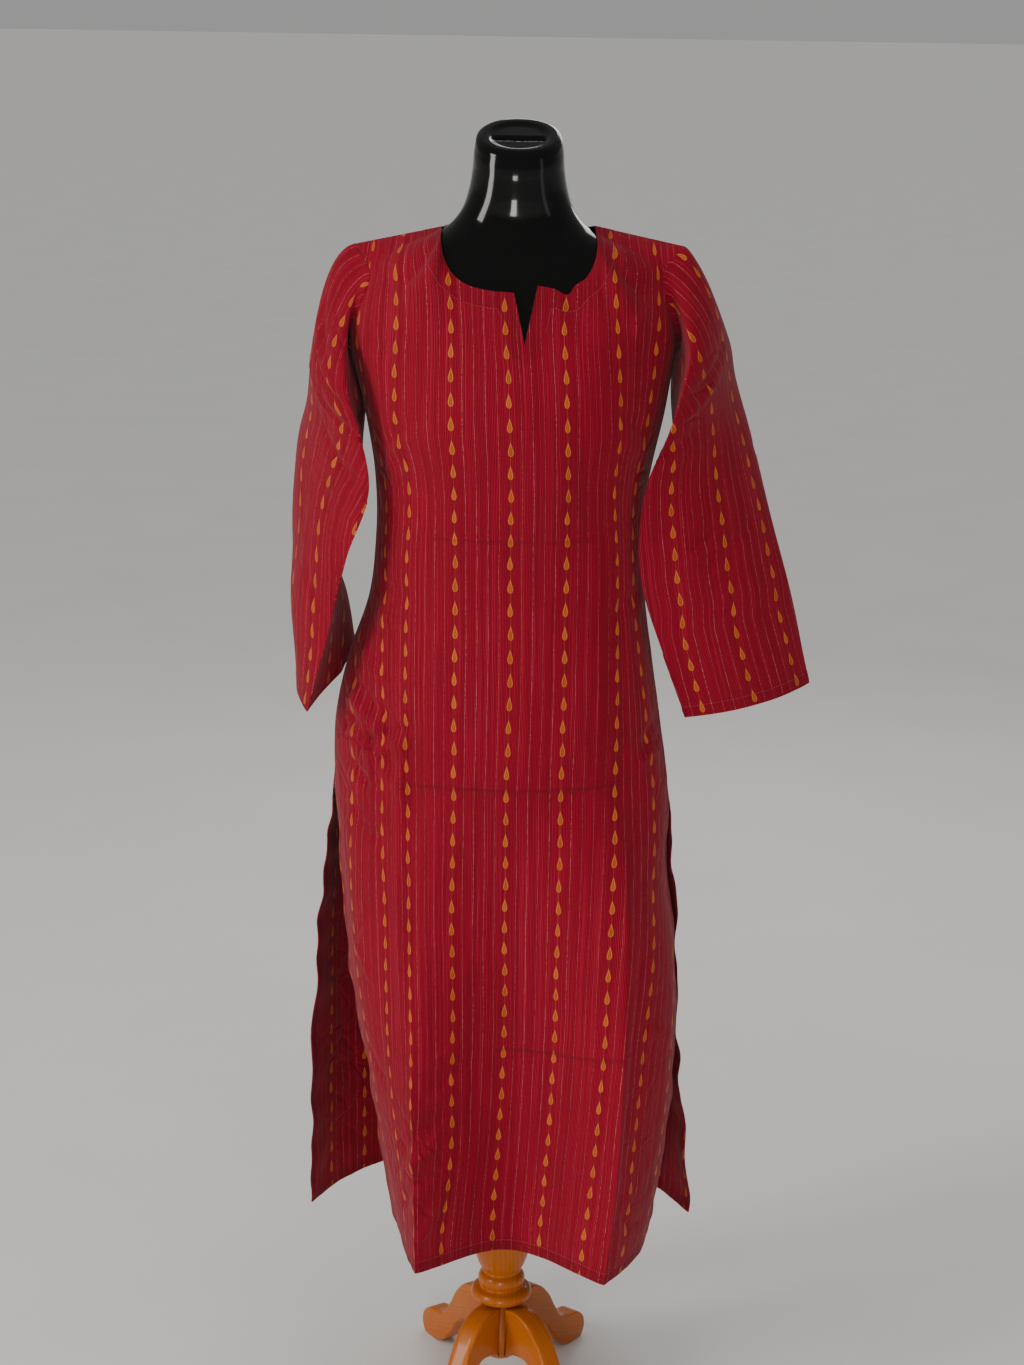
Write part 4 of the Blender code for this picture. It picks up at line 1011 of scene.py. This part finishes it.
sleeves = {
    "left": [
        (-0.1995, 0.002, 1.225, 0.084, 0.043, 0.027, 15, 0.00),
        (-0.2025, -0.002, 1.182, 0.084, 0.048, 0.020, 27, 0.00),
        (-0.2025, -0.006, 1.135, 0.084, 0.036, 0.020, 33, 0.01),
        (-0.2160, -0.004, 1.055, 0.081, 0.026, 0.024, 24, 0.04),
        (-0.2135, 0.000, 0.985, 0.077, 0.030, 0.0365, 9, 0.15),
        (-0.2120, 0.002, 0.905, 0.070, 0.025, 0.029, -12, 0.40),
    ],
    "right": [
        (0.2100, 0.002, 1.265, 0.082, 0.048, 0.023, 18, 0.00),
        (0.2145, 0.000, 1.205, 0.085, 0.058, 0.014, 32, 0.00),
        (0.2115, -0.012, 1.135, 0.088, 0.034, 0.020, 50, 0.00),
        (0.2208, -0.020, 1.050, 0.088, 0.020, 0.022, 66, 0.06),
        (0.2465, -0.020, 0.960, 0.084, 0.019, 0.022, 69, 0.13),
        (0.2695, -0.016, 0.885, 0.0765, 0.018, 0.022, 70, 0.19),
    ],
    "frontEdgeStart": {"left": 0.60, "right": 0.42},
    "cap": {"left": {"topPull": 0.100, "underPull": 0.022, "spread": 0.012, "drop": 0.030, "arrival": 0.9},
            "right": {"topPull": 0.032, "underPull": 0.022, "spread": 0.014, "drop": 0.030, "arrival": 1.0}},
    "edgeSharpness": (0.15, 0.75), "insideLag": {"left": 1.7, "right": 1.7}, "offBody": 0.0012,
    "clearFrom": 9,
    # how far the pattern drifts round the tube, by metres above the cuff
    "drift": {"left": {"height": (0.0, 0.075, 0.12, 0.16, 0.20, 0.225, 0.25, 0.28, 0.31, 0.34, 0.40, 0.48),
                       "shift": (0.0, 0.003, 0.015, 0.028, 0.046, 0.051, 0.044, 0.032, 0.014, 0.001, 0.008,
                                 0.018)},
              "right": {"height": (0.0, 0.10, 0.13, 0.19, 0.225, 0.265, 0.305, 0.335, 0.365, 0.40, 0.425,
                                   0.48),
                        "shift": (0.0, 0.0, 0.007, 0.009, 0.006, -0.001, -0.007, -0.018, -0.031, -0.0615,
                                  -0.074, -0.076)}},
    "crushed": {"left": [((0.055, 0.395), (0.030, 0.060), 1.0), ((0.045, 0.280), (0.030, 0.060), 0.7),
                         ((0.02, 0.15), (0.05, 0.10), 0.35)],
                "right": [((0.050, 0.380), (0.030, 0.050), 0.9), ((0.010, 0.200), (0.030, 0.035), 0.5),
                          ((0.02, 0.12), (0.05, 0.10), 0.2)]},
    "shoulderDrop": 0.2, "capRows": 22, "tubeRows": 92, "cuffBand": 0.0130,
    "creaseGirth": 0.34, "creaseStrength": 1.4, "ripple": 0.0016, "rippleRadius": 0.05,
    "rippleWaves": (26, 11), "fadeRows": 12.0, "seamRise": 0.0004, "cuffShade": 0.4,
}
# creases by share round the tube (0 outside, 0.25 front edge, 0.5 body side) and metres above the cuff
sleeveCreases = {
    "left": [
        ((0.02, 0.455), (0.16, 0.400), 0.007, -0.0030), ((0.04, 0.425), (0.20, 0.372), 0.006, 0.0026),
        ((0.06, 0.398), (0.22, 0.350), 0.007, -0.0032), ((0.00, 0.372), (0.14, 0.330), 0.006, 0.0022),
        ((0.10, 0.345), (0.24, 0.315), 0.006, -0.0024), ((0.05, 0.300), (0.20, 0.255), 0.007, -0.0022),
        ((0.08, 0.235), (0.23, 0.262), 0.006, 0.0020), ((0.30, 0.330), (0.46, 0.300), 0.007, -0.0022),
        ((0.06, 0.150), (0.20, 0.120), 0.006, -0.0014), ((0.55, 0.300), (0.72, 0.270), 0.007, -0.0022),
        ((0.60, 0.345), (0.80, 0.320), 0.007, 0.0020),
    ],
    "right": [
        ((0.02, 0.420), (0.20, 0.372), 0.007, -0.0024), ((0.06, 0.380), (0.22, 0.345), 0.006, 0.0020),
        ((0.10, 0.335), (0.24, 0.310), 0.007, -0.0022), ((0.02, 0.205), (0.10, 0.190), 0.006, -0.0022),
        ((0.03, 0.188), (0.11, 0.176), 0.005, 0.0018), ((0.86, 0.200), (0.97, 0.188), 0.006, -0.0018),
        ((0.60, 0.300), (0.78, 0.280), 0.007, -0.0022), ((0.58, 0.340), (0.74, 0.330), 0.006, 0.0018),
    ],
}


def armholeLoop(hand):
    # sleeve seam from the shoulder tip down the front and up the back, with its directions
    column, step = (0, 1) if hand == "left" else (-1, -1)
    first, count = front["firstYoke"], kurta["fineRows"]["yoke"]
    order = [(front, i) for i in range(first + count, first - 1, -1)]
    order += [(back, i) for i in range(first + 1, first + count)]
    points = np.array([panel["grid"][i, column] for panel, i in order])
    normals = np.array([panel["normals"][i, column] for panel, i in order])
    inwards = np.array([panel["grid"][i, column + 4 * step] - panel["grid"][i, column] for panel, i in order])
    points[0, 1] = points[count, 1] = 0.0
    along = unitRows(np.roll(points, -1, axis=0) - np.roll(points, 1, axis=0))
    along[0] = along[count] = (0.0, 1.0, 0.0)
    away = unitRows(np.cross(along, normals))
    away *= -np.sign(np.sum(away * inwards, axis=1, keepdims=True))
    away[count] = (0.0, 0.0, 1.0)
    away[0] = unitRows(np.array([-1.0 if hand == "left" else 1.0, 0.0, -sleeves["shoulderDrop"]]))
    for _ in range(3):
        away = unitRows(2 * away + np.roll(away, 1, axis=0) + np.roll(away, -1, axis=0))
    return points, normals, away


def panelTree(panels):
    # outer faces of the body, turned away from the wearer
    points, faces = [], []
    for panel in panels:
        grid, start = panel["grid"], len(points)
        columns = grid.shape[1]
        points += [Vector(p) for p in grid.reshape(-1, 3)]
        # a place in the panel's middle tells which way round the grid runs
        i, j = kurta["middle"]
        turned = np.cross(grid[i, j + 1] - grid[i, j], grid[i + 1, j] - grid[i, j])
        ahead = np.sum(turned * panel["normals"][i, j]) > 0
        for i in range(grid.shape[0] - 1):
            for j in range(columns - 1):
                a = start + i * columns + j
                quad = (a, a + 1, a + columns + 1, a + columns)
                faces.append(quad if ahead else quad[::-1])
    return BVHTree.FromPolygons(points, faces)


bodyTree = panelTree((front, back))


def tubeAngles(hand):
    count = kurta["fineRows"]["yoke"]
    share = sleeves["frontEdgeStart"][hand]
    down = np.linspace(0.0, 1.0, count + 1)
    frontAngles = np.where(down < share, 90.0 * down / share, 90.0 + 90.0 * (down - share) / (1.0 - share))
    up = np.linspace(1.0, 0.0, count + 1)[1:-1]
    return np.radians(np.concatenate([frontAngles, 180.0 + 180.0 * (1.0 - up)]))


def tubeRing(row, hand, angles, sharpness):
    outwards = -1.0 if hand == "left" else 1.0
    x, y, z, wide, inside, outside, turn, rise = row
    turn = math.radians(turn)
    edgeWay = np.array([-outwards * math.sin(turn), -math.cos(turn), 0.0])
    flatWay = np.array([outwards * math.cos(turn), -math.sin(turn), 0.0])
    along = np.sin(angles)[:, None]
    # the body side is fullest behind its middle, so the front edge stays a crisp fold
    past = np.clip((angles - math.pi / 2) / math.pi, 0.0, 1.0) ** sleeves["insideLag"][hand]
    bulge = np.where(np.cos(angles) > 0, np.abs(np.cos(angles)), np.sin(math.pi * past))
    bulge = bulge[:, None] ** (1.0 + sharpness)
    thick = np.where(np.cos(angles) > 0, outside, -inside)[:, None]
    ring = np.array([x, y, z]) + edgeWay * wide * along + flatWay * thick * bulge
    ring[:, 2] -= rise * wide * along[:, 0]
    return ring


def makeSleeve(hand, material):
    points, seamNormals, away = armholeLoop(hand)
    outwards = -1.0 if hand == "left" else 1.0
    angles = tubeAngles(hand)
    table = np.array(sleeves[hand], float)
    levels = np.linspace(-table[0, 2], -table[-1, 2], sleeves["tubeRows"] + 1)
    sharpness = np.interp(levels, levels[[0, -1]], sleeves["edgeSharpness"])
    tubeRows = curveThrough(-table[:, 2], table, levels)
    tube = np.array([tubeRing(row, hand, angles, k) for row, k in zip(tubeRows, sharpness)])
    start = points + away * kurta["seamGap"]
    under = (1.0 - np.cos(angles))[:, None] / 2.0
    crest = start + away * kurta["seamCrest"] + seamNormals * under * kurta["seamCrest"]
    cap = sleeves["cap"][hand]
    sideways = np.array([outwards, 0.0, 0.0])
    forwards = np.column_stack([np.zeros_like(angles), -np.sin(angles), np.zeros_like(angles)])
    pull = (away * cap["topPull"] * (1.0 - under) + sideways * cap["underPull"] * under
            + forwards * cap["spread"] - np.array([0.0, 0.0, cap["drop"]]) * under)
    fall = unitRows(tube[2] - tube[0])
    arrival = fall * np.linalg.norm(tube[0] - crest, axis=1, keepdims=True) * cap["arrival"]
    capShares = [i / sleeves["capRows"] for i in range(sleeves["capRows"])]
    capRows = [eased(crest, pull, tube[0], arrival, share) for share in capShares]
    middle = (start + crest) / 2 + seamNormals * sleeves["seamRise"]
    grid = np.concatenate([[start], [middle], capRows, tube])

    def ringNormals(grid):
        aside = np.roll(grid, -1, axis=1) - np.roll(grid, 1, axis=1)
        normals = unitRows(np.cross(aside, np.gradient(grid, axis=0)))
        return normals * np.sign(np.sum(normals[-1] * (grid[-1] - grid[-1].mean(axis=0))))

    closed = np.concatenate([grid, grid[:, :1]], axis=1)
    lengths = runningLength(closed, 1)
    # the pattern's two ends meet at the underarm
    split = kurta["fineRows"]["yoke"]
    across = np.where(np.arange(closed.shape[1])[None, :] <= split, lengths, lengths - lengths[:, -1:])
    along = runningLength(closed[::-1])[::-1]
    drift = sleeves["drift"][hand]
    driftedBy = np.interp(along, drift["height"], drift["shift"])

    normals = ringNormals(grid)
    share = lengths[:, :-1] / lengths[:, -1:]
    girth = sleeves["creaseGirth"]
    height = np.zeros_like(share)
    for (s0, v0), (s1, v1), wide, high in sleeveCreases[hand]:
        crease = ((s0 * girth, v0), (s1 * girth, v1), wide, high)
        height += sleeves["creaseStrength"] * creaseHeight(share * girth, along[:, :-1], [crease])
    turnX, turnY = (way(share * 2 * math.pi) * sleeves["rippleRadius"] for way in (np.cos, np.sin))
    wavesRound, wavesAlong = sleeves["rippleWaves"]
    ripples = [noise.noise(Vector((a * wavesRound, b * wavesRound, v * wavesAlong + outwards * 7)))
               for a, b, v in zip(turnX.ravel(), turnY.ravel(), along[:, :-1].ravel())]
    height += sleeves["ripple"] * np.array(ripples).reshape(height.shape)
    fade = softStep(0.0, sleeves["fadeRows"], np.arange(len(grid)))[:, None]
    band = bandTo(sleeves["cuffBand"], along[:, :-1])
    grid = grid + normals * (height * fade + kurta["bandRise"] * band)[..., None]
    grid = pushedOff(grid, bodyTree, sleeves["offBody"] + kurta["wall"],
                     range(sleeves["clearFrom"], len(grid)))
    normals = ringNormals(grid)
    normals[0] = normals[1] = seamNormals
    inner = grid - normals * (kurta["wall"] + kurta["bandRise"] * band)[..., None]

    crushed = crushedAt(across[:, :-1], along[:, :-1], sleeves["crushed"][hand])

    # cut the pattern where its ends meet, so no face runs from one end to the other
    across = across + driftedBy
    lengths = lengths + driftedBy
    whole = lengths[:, -1:] - lengths[:, :1]
    columns = grid.shape[1]
    order = np.roll(np.arange(columns), -split)
    acrossCut = np.concatenate([across[:, split + 1:], across[:, 1:split + 1]], axis=1)
    acrossCut = np.concatenate([lengths[:, split:split + 1] - whole, acrossCut], axis=1)
    alongCut = np.concatenate([along[:, split:-1], along[:, :split + 1]], axis=1)
    marks = {"turnedBand": sleeves["cuffShade"] * band[:, order], "crushed": crushed[:, order]}
    piece = gridShell("sleeve_%s_cloth" % hand, grid[:, order], inner[:, order], acrossCut, alongCut, marks,
                      material, wrapped=True)
    finishPiece(piece, ["sleeve_" + hand])
    print(hand, "sleeve made, cuff round %.3f, length %.3f" % (float(whole[-1, 0]), float(along.max())))
    return {"piece": piece, "grid": grid, "normals": normals, "along": along[:, :-1]}


leftCotton = cottonMaterial("crimsonCottonLeftSleeve", 0.0116, 0.012)
rightCotton = cottonMaterial("crimsonCottonRightSleeve", 0.0, 0.012)
leftSleeve = makeSleeve("left", leftCotton)
rightSleeve = makeSleeve("right", rightCotton)


# stitches along the hems, slits, neck and cuffs, by geometry nodes

stitching = {"pitch": 0.0034, "long": 0.0023, "thread": 0.00032, "proud": 0.00012,
             "colour": (0.27, 0.010, 0.030), "sheen": (0.40, 0.036, 0.062)}
stitchInputs = {"Stitch Pitch": stitching["pitch"], "Stitch Length": stitching["long"],
                "Thread Radius": stitching["thread"]}


def threadMaterial():
    material, tree, shader = newMaterial("sewingThread")
    fuzz = noiseAt(readNode(tree, "ShaderNodeTexCoord", "Object"), 2600.0, 2.0, 0.6)
    addBump(shader, ((fuzz, 0.0001, 0.4),))
    plug(shader.inputs, {"Base Color": blendColour(fuzz, stitching["colour"], stitching["sheen"]),
                         "Roughness": 0.7, "Sheen Weight": 0.2})
    return material


def stitchTree(material):
    tree = bpy.data.node_groups.new("stitchesAlongLine", "GeometryNodeTree")
    face = tree.interface
    face.new_socket("Geometry", in_out="INPUT", socket_type="NodeSocketGeometry")
    sockets = {}
    for label, value in stitchInputs.items():
        socket = face.new_socket(label, in_out="INPUT", socket_type="NodeSocketFloat")
        socket.default_value = value
        sockets[label] = socket.identifier
    face.new_socket("Geometry", in_out="OUTPUT", socket_type="NodeSocketGeometry")
    entry, leave = tree.nodes.new("NodeGroupInput"), tree.nodes.new("NodeGroupOutput")
    toCurve = tree.nodes.new("GeometryNodeMeshToCurve")
    spaced = tree.nodes.new("GeometryNodeResampleCurve")
    spaced.mode = "LENGTH"
    tangent = tree.nodes.new("GeometryNodeInputTangent")
    turned = tree.nodes.new("FunctionNodeAlignRotationToVector")
    turned.axis = "Z"
    bead = tree.nodes.new("GeometryNodeMeshUVSphere")
    bead.inputs["Segments"].default_value, bead.inputs["Rings"].default_value = 6, 4
    bead.inputs["Radius"].default_value = 1.0
    halved = tree.nodes.new("ShaderNodeMath")
    halved.operation = "MULTIPLY"
    halved.inputs[1].default_value = 0.5
    size = tree.nodes.new("ShaderNodeCombineXYZ")
    place = tree.nodes.new("GeometryNodeInstanceOnPoints")
    whole = tree.nodes.new("GeometryNodeRealizeInstances")
    coloured = tree.nodes.new("GeometryNodeSetMaterial")
    coloured.inputs["Material"].default_value = material
    link = tree.links.new
    link(entry.outputs[0], toCurve.inputs[0])
    link(toCurve.outputs[0], spaced.inputs["Curve"])
    link(entry.outputs["Stitch Pitch"], spaced.inputs["Length"])
    link(spaced.outputs[0], place.inputs["Points"])
    link(bead.outputs[0], place.inputs["Instance"])
    link(tangent.outputs[0], turned.inputs["Vector"])
    link(turned.outputs[0], place.inputs["Rotation"])
    link(entry.outputs["Stitch Length"], halved.inputs[0])
    link(entry.outputs["Thread Radius"], size.inputs[0])
    link(entry.outputs["Thread Radius"], size.inputs[1])
    link(halved.outputs[0], size.inputs[2])
    link(size.outputs[0], place.inputs["Scale"])
    link(place.outputs[0], whole.inputs[0])
    link(whole.outputs[0], coloured.inputs["Geometry"])
    link(coloured.outputs[0], leave.inputs[0])
    return tree, sockets


def lineAtDistance(surface, distances, wanted, paths):
    # on each path over a grid, the point where a distance first passes the wanted one
    line = []
    for path in paths:
        for a, b in zip(path[:-1], path[1:]):
            da, db = distances[a], distances[b]
            if (da - wanted) * (db - wanted) <= 0 and da != db:
                t = (wanted - da) / (db - da)
                point = surface["grid"][a] * (1 - t) + surface["grid"][b] * t
                line.append(point + surface["normals"][a] * stitching["proud"])
                break
    return np.array(line)


def makeStitches(name, lines, material, tree, sockets):
    points, edges = [], []
    for line in lines:
        start = len(points)
        points += [tuple(p) for p in line + standAxis]
        edges += [(k, k + 1) for k in range(start, start + len(line) - 1)]
    mesh = bpy.data.meshes.new(name + "_line")
    mesh.from_pydata(points, edges, [])
    holder = bpy.data.objects.new(name + "_line", mesh)
    scene.collection.objects.link(holder)
    modifier = holder.modifiers.new("stitches", "NODES")
    modifier.node_group = tree
    for label, value in stitchInputs.items():
        modifier[sockets[label]] = value
    evaluated = holder.evaluated_get(bpy.context.evaluated_depsgraph_get())
    plain = bpy.data.meshes.new_from_object(evaluated)
    holder.modifiers.clear()
    bpy.data.objects.remove(holder)
    plain.name = name
    if not plain.materials:
        plain.materials.append(material)
    plain.shade_smooth()
    piece = bpy.data.objects.new(name, plain)
    scene.collection.objects.link(piece)
    return finishPiece(piece)


def splitWhereApart(line, reach=0.012):
    # a line is cut where two of its neighbours lie far apart
    parts, begin = [], 0
    for k in range(1, len(line)):
        if np.linalg.norm(line[k] - line[k - 1]) > reach:
            parts.append(line[begin:k])
            begin = k
    parts.append(line[begin:])
    return [part for part in parts if len(part) > 3]


def panelLines(panel):
    # stitched lines of a panel: hem, both slits and neck
    rows, columns = panel["grid"].shape[:2]
    quarter = columns // 4
    hemPaths = [[(i, j) for i in range(12)] for j in range(2, columns - 2)]
    lines = [lineAtDistance(panel, panel["fromHem"], kurta["hemBand"], hemPaths)]
    for order in (range(quarter), range(columns - 1, columns - quarter, -1)):
        slitPaths = [[(i, j) for j in order] for i in range(3, kurta["fineRows"]["skirt"] - 2)]
        lines.append(lineAtDistance(panel, panel["fromSide"], kurta["slitBand"], slitPaths))
    neckPaths = [[(i, j) for i in range(panel["firstYoke"] - 12, rows)] for j in range(columns)]
    neck = lineAtDistance(panel, panel["fromNeck"], kurta["neckBand"], neckPaths)
    return lines + splitWhereApart(neck[neck[:, 2] > kurta["neckStitchFromZ"]])


thread = threadMaterial()
stitchNodes, stitchSockets = stitchTree(thread)
for side, panel in (("front", front), ("back", back)):
    makeStitches("kurta_%s_stitches" % side, panelLines(panel), thread, stitchNodes,
                                      stitchSockets)
for hand, sleeve in (("left", leftSleeve), ("right", rightSleeve)):
    rows, columns = sleeve["grid"].shape[:2]
    paths = [[(i, j) for i in range(rows - 14, rows)] for j in range(columns)]
    cuff = lineAtDistance(sleeve, sleeve["along"], sleeves["cuffBand"], paths)
    cuff = np.concatenate([cuff, cuff[:1]])
    makeStitches("sleeve_%s_stitches" % hand, [cuff], thread, stitchNodes, stitchSockets)


# turned post, its profile read from the solid

post = {"sides": 72, "finePerRow": 6, "crease": 42.0}


def makePost(material):
    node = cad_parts["form_post"]
    radii = {}
    for vertex in node.data.vertices:
        z = round(vertex.co.z, 4)
        radii[z] = max(radii.get(z, 0.0), math.hypot(vertex.co.x - standAxis[0], vertex.co.y - standAxis[1]))
    profile = np.array([(radii[z], z) for z in sorted(radii)])
    places = runningLength(profile)
    outline = curveThrough(places, profile, finePlaces(places, post["finePerRow"]))
    outline[:, 1] = np.clip(outline[:, 1], profile[0, 1], profile[-1, 1])
    sides = post["sides"]
    turns = np.arange(sides) * 2 * math.pi / sides
    points = [(r * math.cos(a), r * math.sin(a), z) for r, z in outline for a in turns]
    faces = tubeFaces(len(outline), sides) + endFaces(len(outline), sides)
    piece = meshPiece("stand_post_turned", points, faces, material)
    turnFacesOut(piece, post["crease"])
    return finishPiece(piece, ["form_post"])


makePost(woodMaterial("varnishedWoodPost"))


# four curved plank legs with rounded edges

legs = {
    "thick": 0.026, "start": 0.0213,
    "angles": {"leg_front_left": -33.0, "leg_front_right": 40.0,
               "leg_back_right": 143.0, "leg_back_left": -146.0},
    # outline from the side: distance out from the axis and height
    "outline": [
        (0.0213, 0.052), (0.0213, 0.116), (0.042, 0.118), (0.062, 0.112), (0.082, 0.094),
        (0.098, 0.068), (0.112, 0.049), (0.130, 0.042), (0.148, 0.038), (0.160, 0.027),
        (0.162, 0.013), (0.154, 0.000), (0.132, 0.000), (0.114, 0.008), (0.096, 0.026),
        (0.078, 0.050), (0.060, 0.062), (0.040, 0.060),
    ],
    "finePerPoint": 6, "crease": 38.0,
    # rounding of the edges: share of the half thickness, and how far the outline draws in
    "edge": [(-1.00, 0.0034), (-0.975, 0.0018), (-0.90, 0.0006), (-0.80, 0.0), (-0.40, 0.0), (0.0, 0.0),
             (0.40, 0.0), (0.80, 0.0), (0.90, 0.0006), (0.975, 0.0018), (1.00, 0.0034)],
}


def legOutline():
    points = np.array(legs["outline"])
    # from the top of the straight end round to its foot
    loop = np.concatenate([points[1:], points[:1]])
    places = runningLength(loop)
    wanted = finePlaces(places, legs["finePerPoint"])
    outline = curveThrough(places, loop, wanted)
    outline[:, 1] = np.maximum(outline[:, 1], 0.0)
    outline[:, 0] = np.maximum(outline[:, 0], legs["start"])
    return outline, wanted


def makeLeg(name, angle, material):
    direction = np.array([math.sin(math.radians(angle)), -math.cos(math.radians(angle)), 0.0])
    sideways = np.array([-direction[1], direction[0], 0.0])
    outline, places = legOutline()
    ahead = np.roll(outline, -1, axis=0) - np.roll(outline, 1, axis=0)
    inward = unitRows(np.column_stack([ahead[:, 1], -ahead[:, 0]]))
    middle = outline.mean(axis=0)
    if np.sum(inward * (middle - outline)) < 0:
        inward = -inward
    count = len(outline)
    points, grain = [], []
    for share, draw in legs["edge"]:
        ring = outline + inward * draw
        ring[:, 1] = np.maximum(ring[:, 1], 0.0 if draw == 0.0 else ring[:, 1].min())
        for (out, z), place in zip(ring, places):
            points.append(direction * out + sideways * share * legs["thick"] / 2 + np.array([0.0, 0.0, z]))
            grain.append((share * legs["thick"] / 2 + z * 0.25, place))
    faces = tubeFaces(len(legs["edge"]), count) + endFaces(len(legs["edge"]), count)
    piece = meshPiece(name + "_plank", points, faces, material)
    uv = piece.data.uv_layers.new(name="grain")
    for polygon in piece.data.polygons:
        for index in polygon.loop_indices:
            vertex = piece.data.loops[index].vertex_index
            if polygon.index < len(faces) - 2:
                uv.data[index].uv = grain[vertex]
            else:
                out, z = outline[vertex % count]
                uv.data[index].uv = (z + 0.35 * out, out - 0.35 * z)
    turnFacesOut(piece, legs["crease"])
    return finishPiece(piece, [name])


plankWood = woodMaterial("varnishedWoodPlank", uvGrain=True)
for name, angle in legs["angles"].items():
    makeLeg(name, angle, plankWood)
print("stand made")


# the area of each piece of cloth is printed

def sheetArea(grid):
    a = np.linalg.norm(np.cross(grid[1:, :-1] - grid[:-1, :-1], grid[:-1, 1:] - grid[:-1, :-1]), axis=-1)
    return float(a.sum())


worn = [front["piece"], back["piece"]]
for label, surface, under in (("front", front, [torso]), ("back", back, [torso]),
                              ("left", leftSleeve, worn), ("right", rightSleeve, worn)):
    print(label, "cloth measures", round(sheetArea(surface["grid"]), 4), "square metres")


# plain pale floor and soft studio light

studio = {
    "floor": (0.72, 0.71, 0.69), "floorCloud": (0.70, 0.69, 0.67), "world": (0.87, 0.865, 0.86),
    "worldStrength": 0.19, "glow": 0.38, "floorHalf": 400.0,
    "sun": {"strength": 1.42, "angle": 80.0, "tilt": 10.0},
    "lamps": [
        # name, place, aim, size, watts, tint
        ("keySoftbox", (-2.8, -1.55, 2.1), (0.0, 0.0, 0.75), (0.8, 2.0), 61.0, (1.0, 0.97, 0.93)),
        ("frontSoftbox", (-0.3, -3.3, 0.8), (0.0, 0.0, 0.30), (0.40, 1.3), 29.0, (1.0, 0.98, 0.96)),
        ("fillSoftbox", (2.3, -1.9, 1.2), (0.0, 0.0, 0.7), (0.4, 1.8), 1.5, (0.97, 0.98, 1.0)),
        ("backSoftbox", (0.6, 2.6, 2.3), (0.0, 0.0, 1.0), (1.4, 1.4), 18.0, (1.0, 0.98, 0.95)),
    ],
}


def makeStudio():
    material, tree, shader = newMaterial("paleFloor")
    cloud = noiseAt(readNode(tree, "ShaderNodeTexCoord", "Object"), 3.0, 3.0)
    tone = blendColour(ramp(cloud, 0.3, 0.7), studio["floor"], studio["floorCloud"])
    plug(shader.inputs, {"Base Color": tone, "Roughness": 0.8})
    half = studio["floorHalf"]
    corners = [(-half, -half, 0.0), (half, -half, 0.0), (half, half, 0.0), (-half, half, 0.0)]
    mesh = bpy.data.meshes.new("paleFloor")
    mesh.from_pydata(corners, [], [(0, 1, 2, 3)])
    mesh.materials.append(material)
    floor = bpy.data.objects.new("paleFloor", mesh)
    scene.collection.objects.link(floor)
    world = bpy.data.worlds.new("studioWorld")
    scene.world = world
    world.use_nodes = True
    sky = world.node_tree
    # a pale glow low on the horizon carries on from the floor, and the rest is dimmer
    height = partsOf(readNode(sky, "ShaderNodeTexCoord", "Generated"))[2]
    plug(sky.nodes["Background"].inputs, {
        0: studio["world"], 1: ramp(height, 0.16, 0.06, studio["worldStrength"], studio["glow"]),
    })
    daylight = bpy.data.lights.new("softSun", "SUN")
    daylight.energy, daylight.angle = studio["sun"]["strength"], math.radians(studio["sun"]["angle"])
    sun = bpy.data.objects.new("softSun", daylight)
    sun.rotation_euler = (math.radians(studio["sun"]["tilt"]), 0.0, 0.0)
    # the lacquer shows the softboxes only
    sun.visible_glossy = False
    scene.collection.objects.link(sun)
    for name, place, aim, size, watts, tint in studio["lamps"]:
        light = bpy.data.lights.new(name, "AREA")
        light.shape = "RECTANGLE"
        light.size, light.size_y = size
        light.energy = watts
        light.color = tint
        lamp = bpy.data.objects.new(name, light)
        lamp.location = Vector(place) + Vector(standAxis)
        lamp.rotation_euler = (Vector(aim) - Vector(place)).to_track_quat("-Z", "Y").to_euler()
        scene.collection.objects.link(lamp)


makeStudio()
print("studio lit")
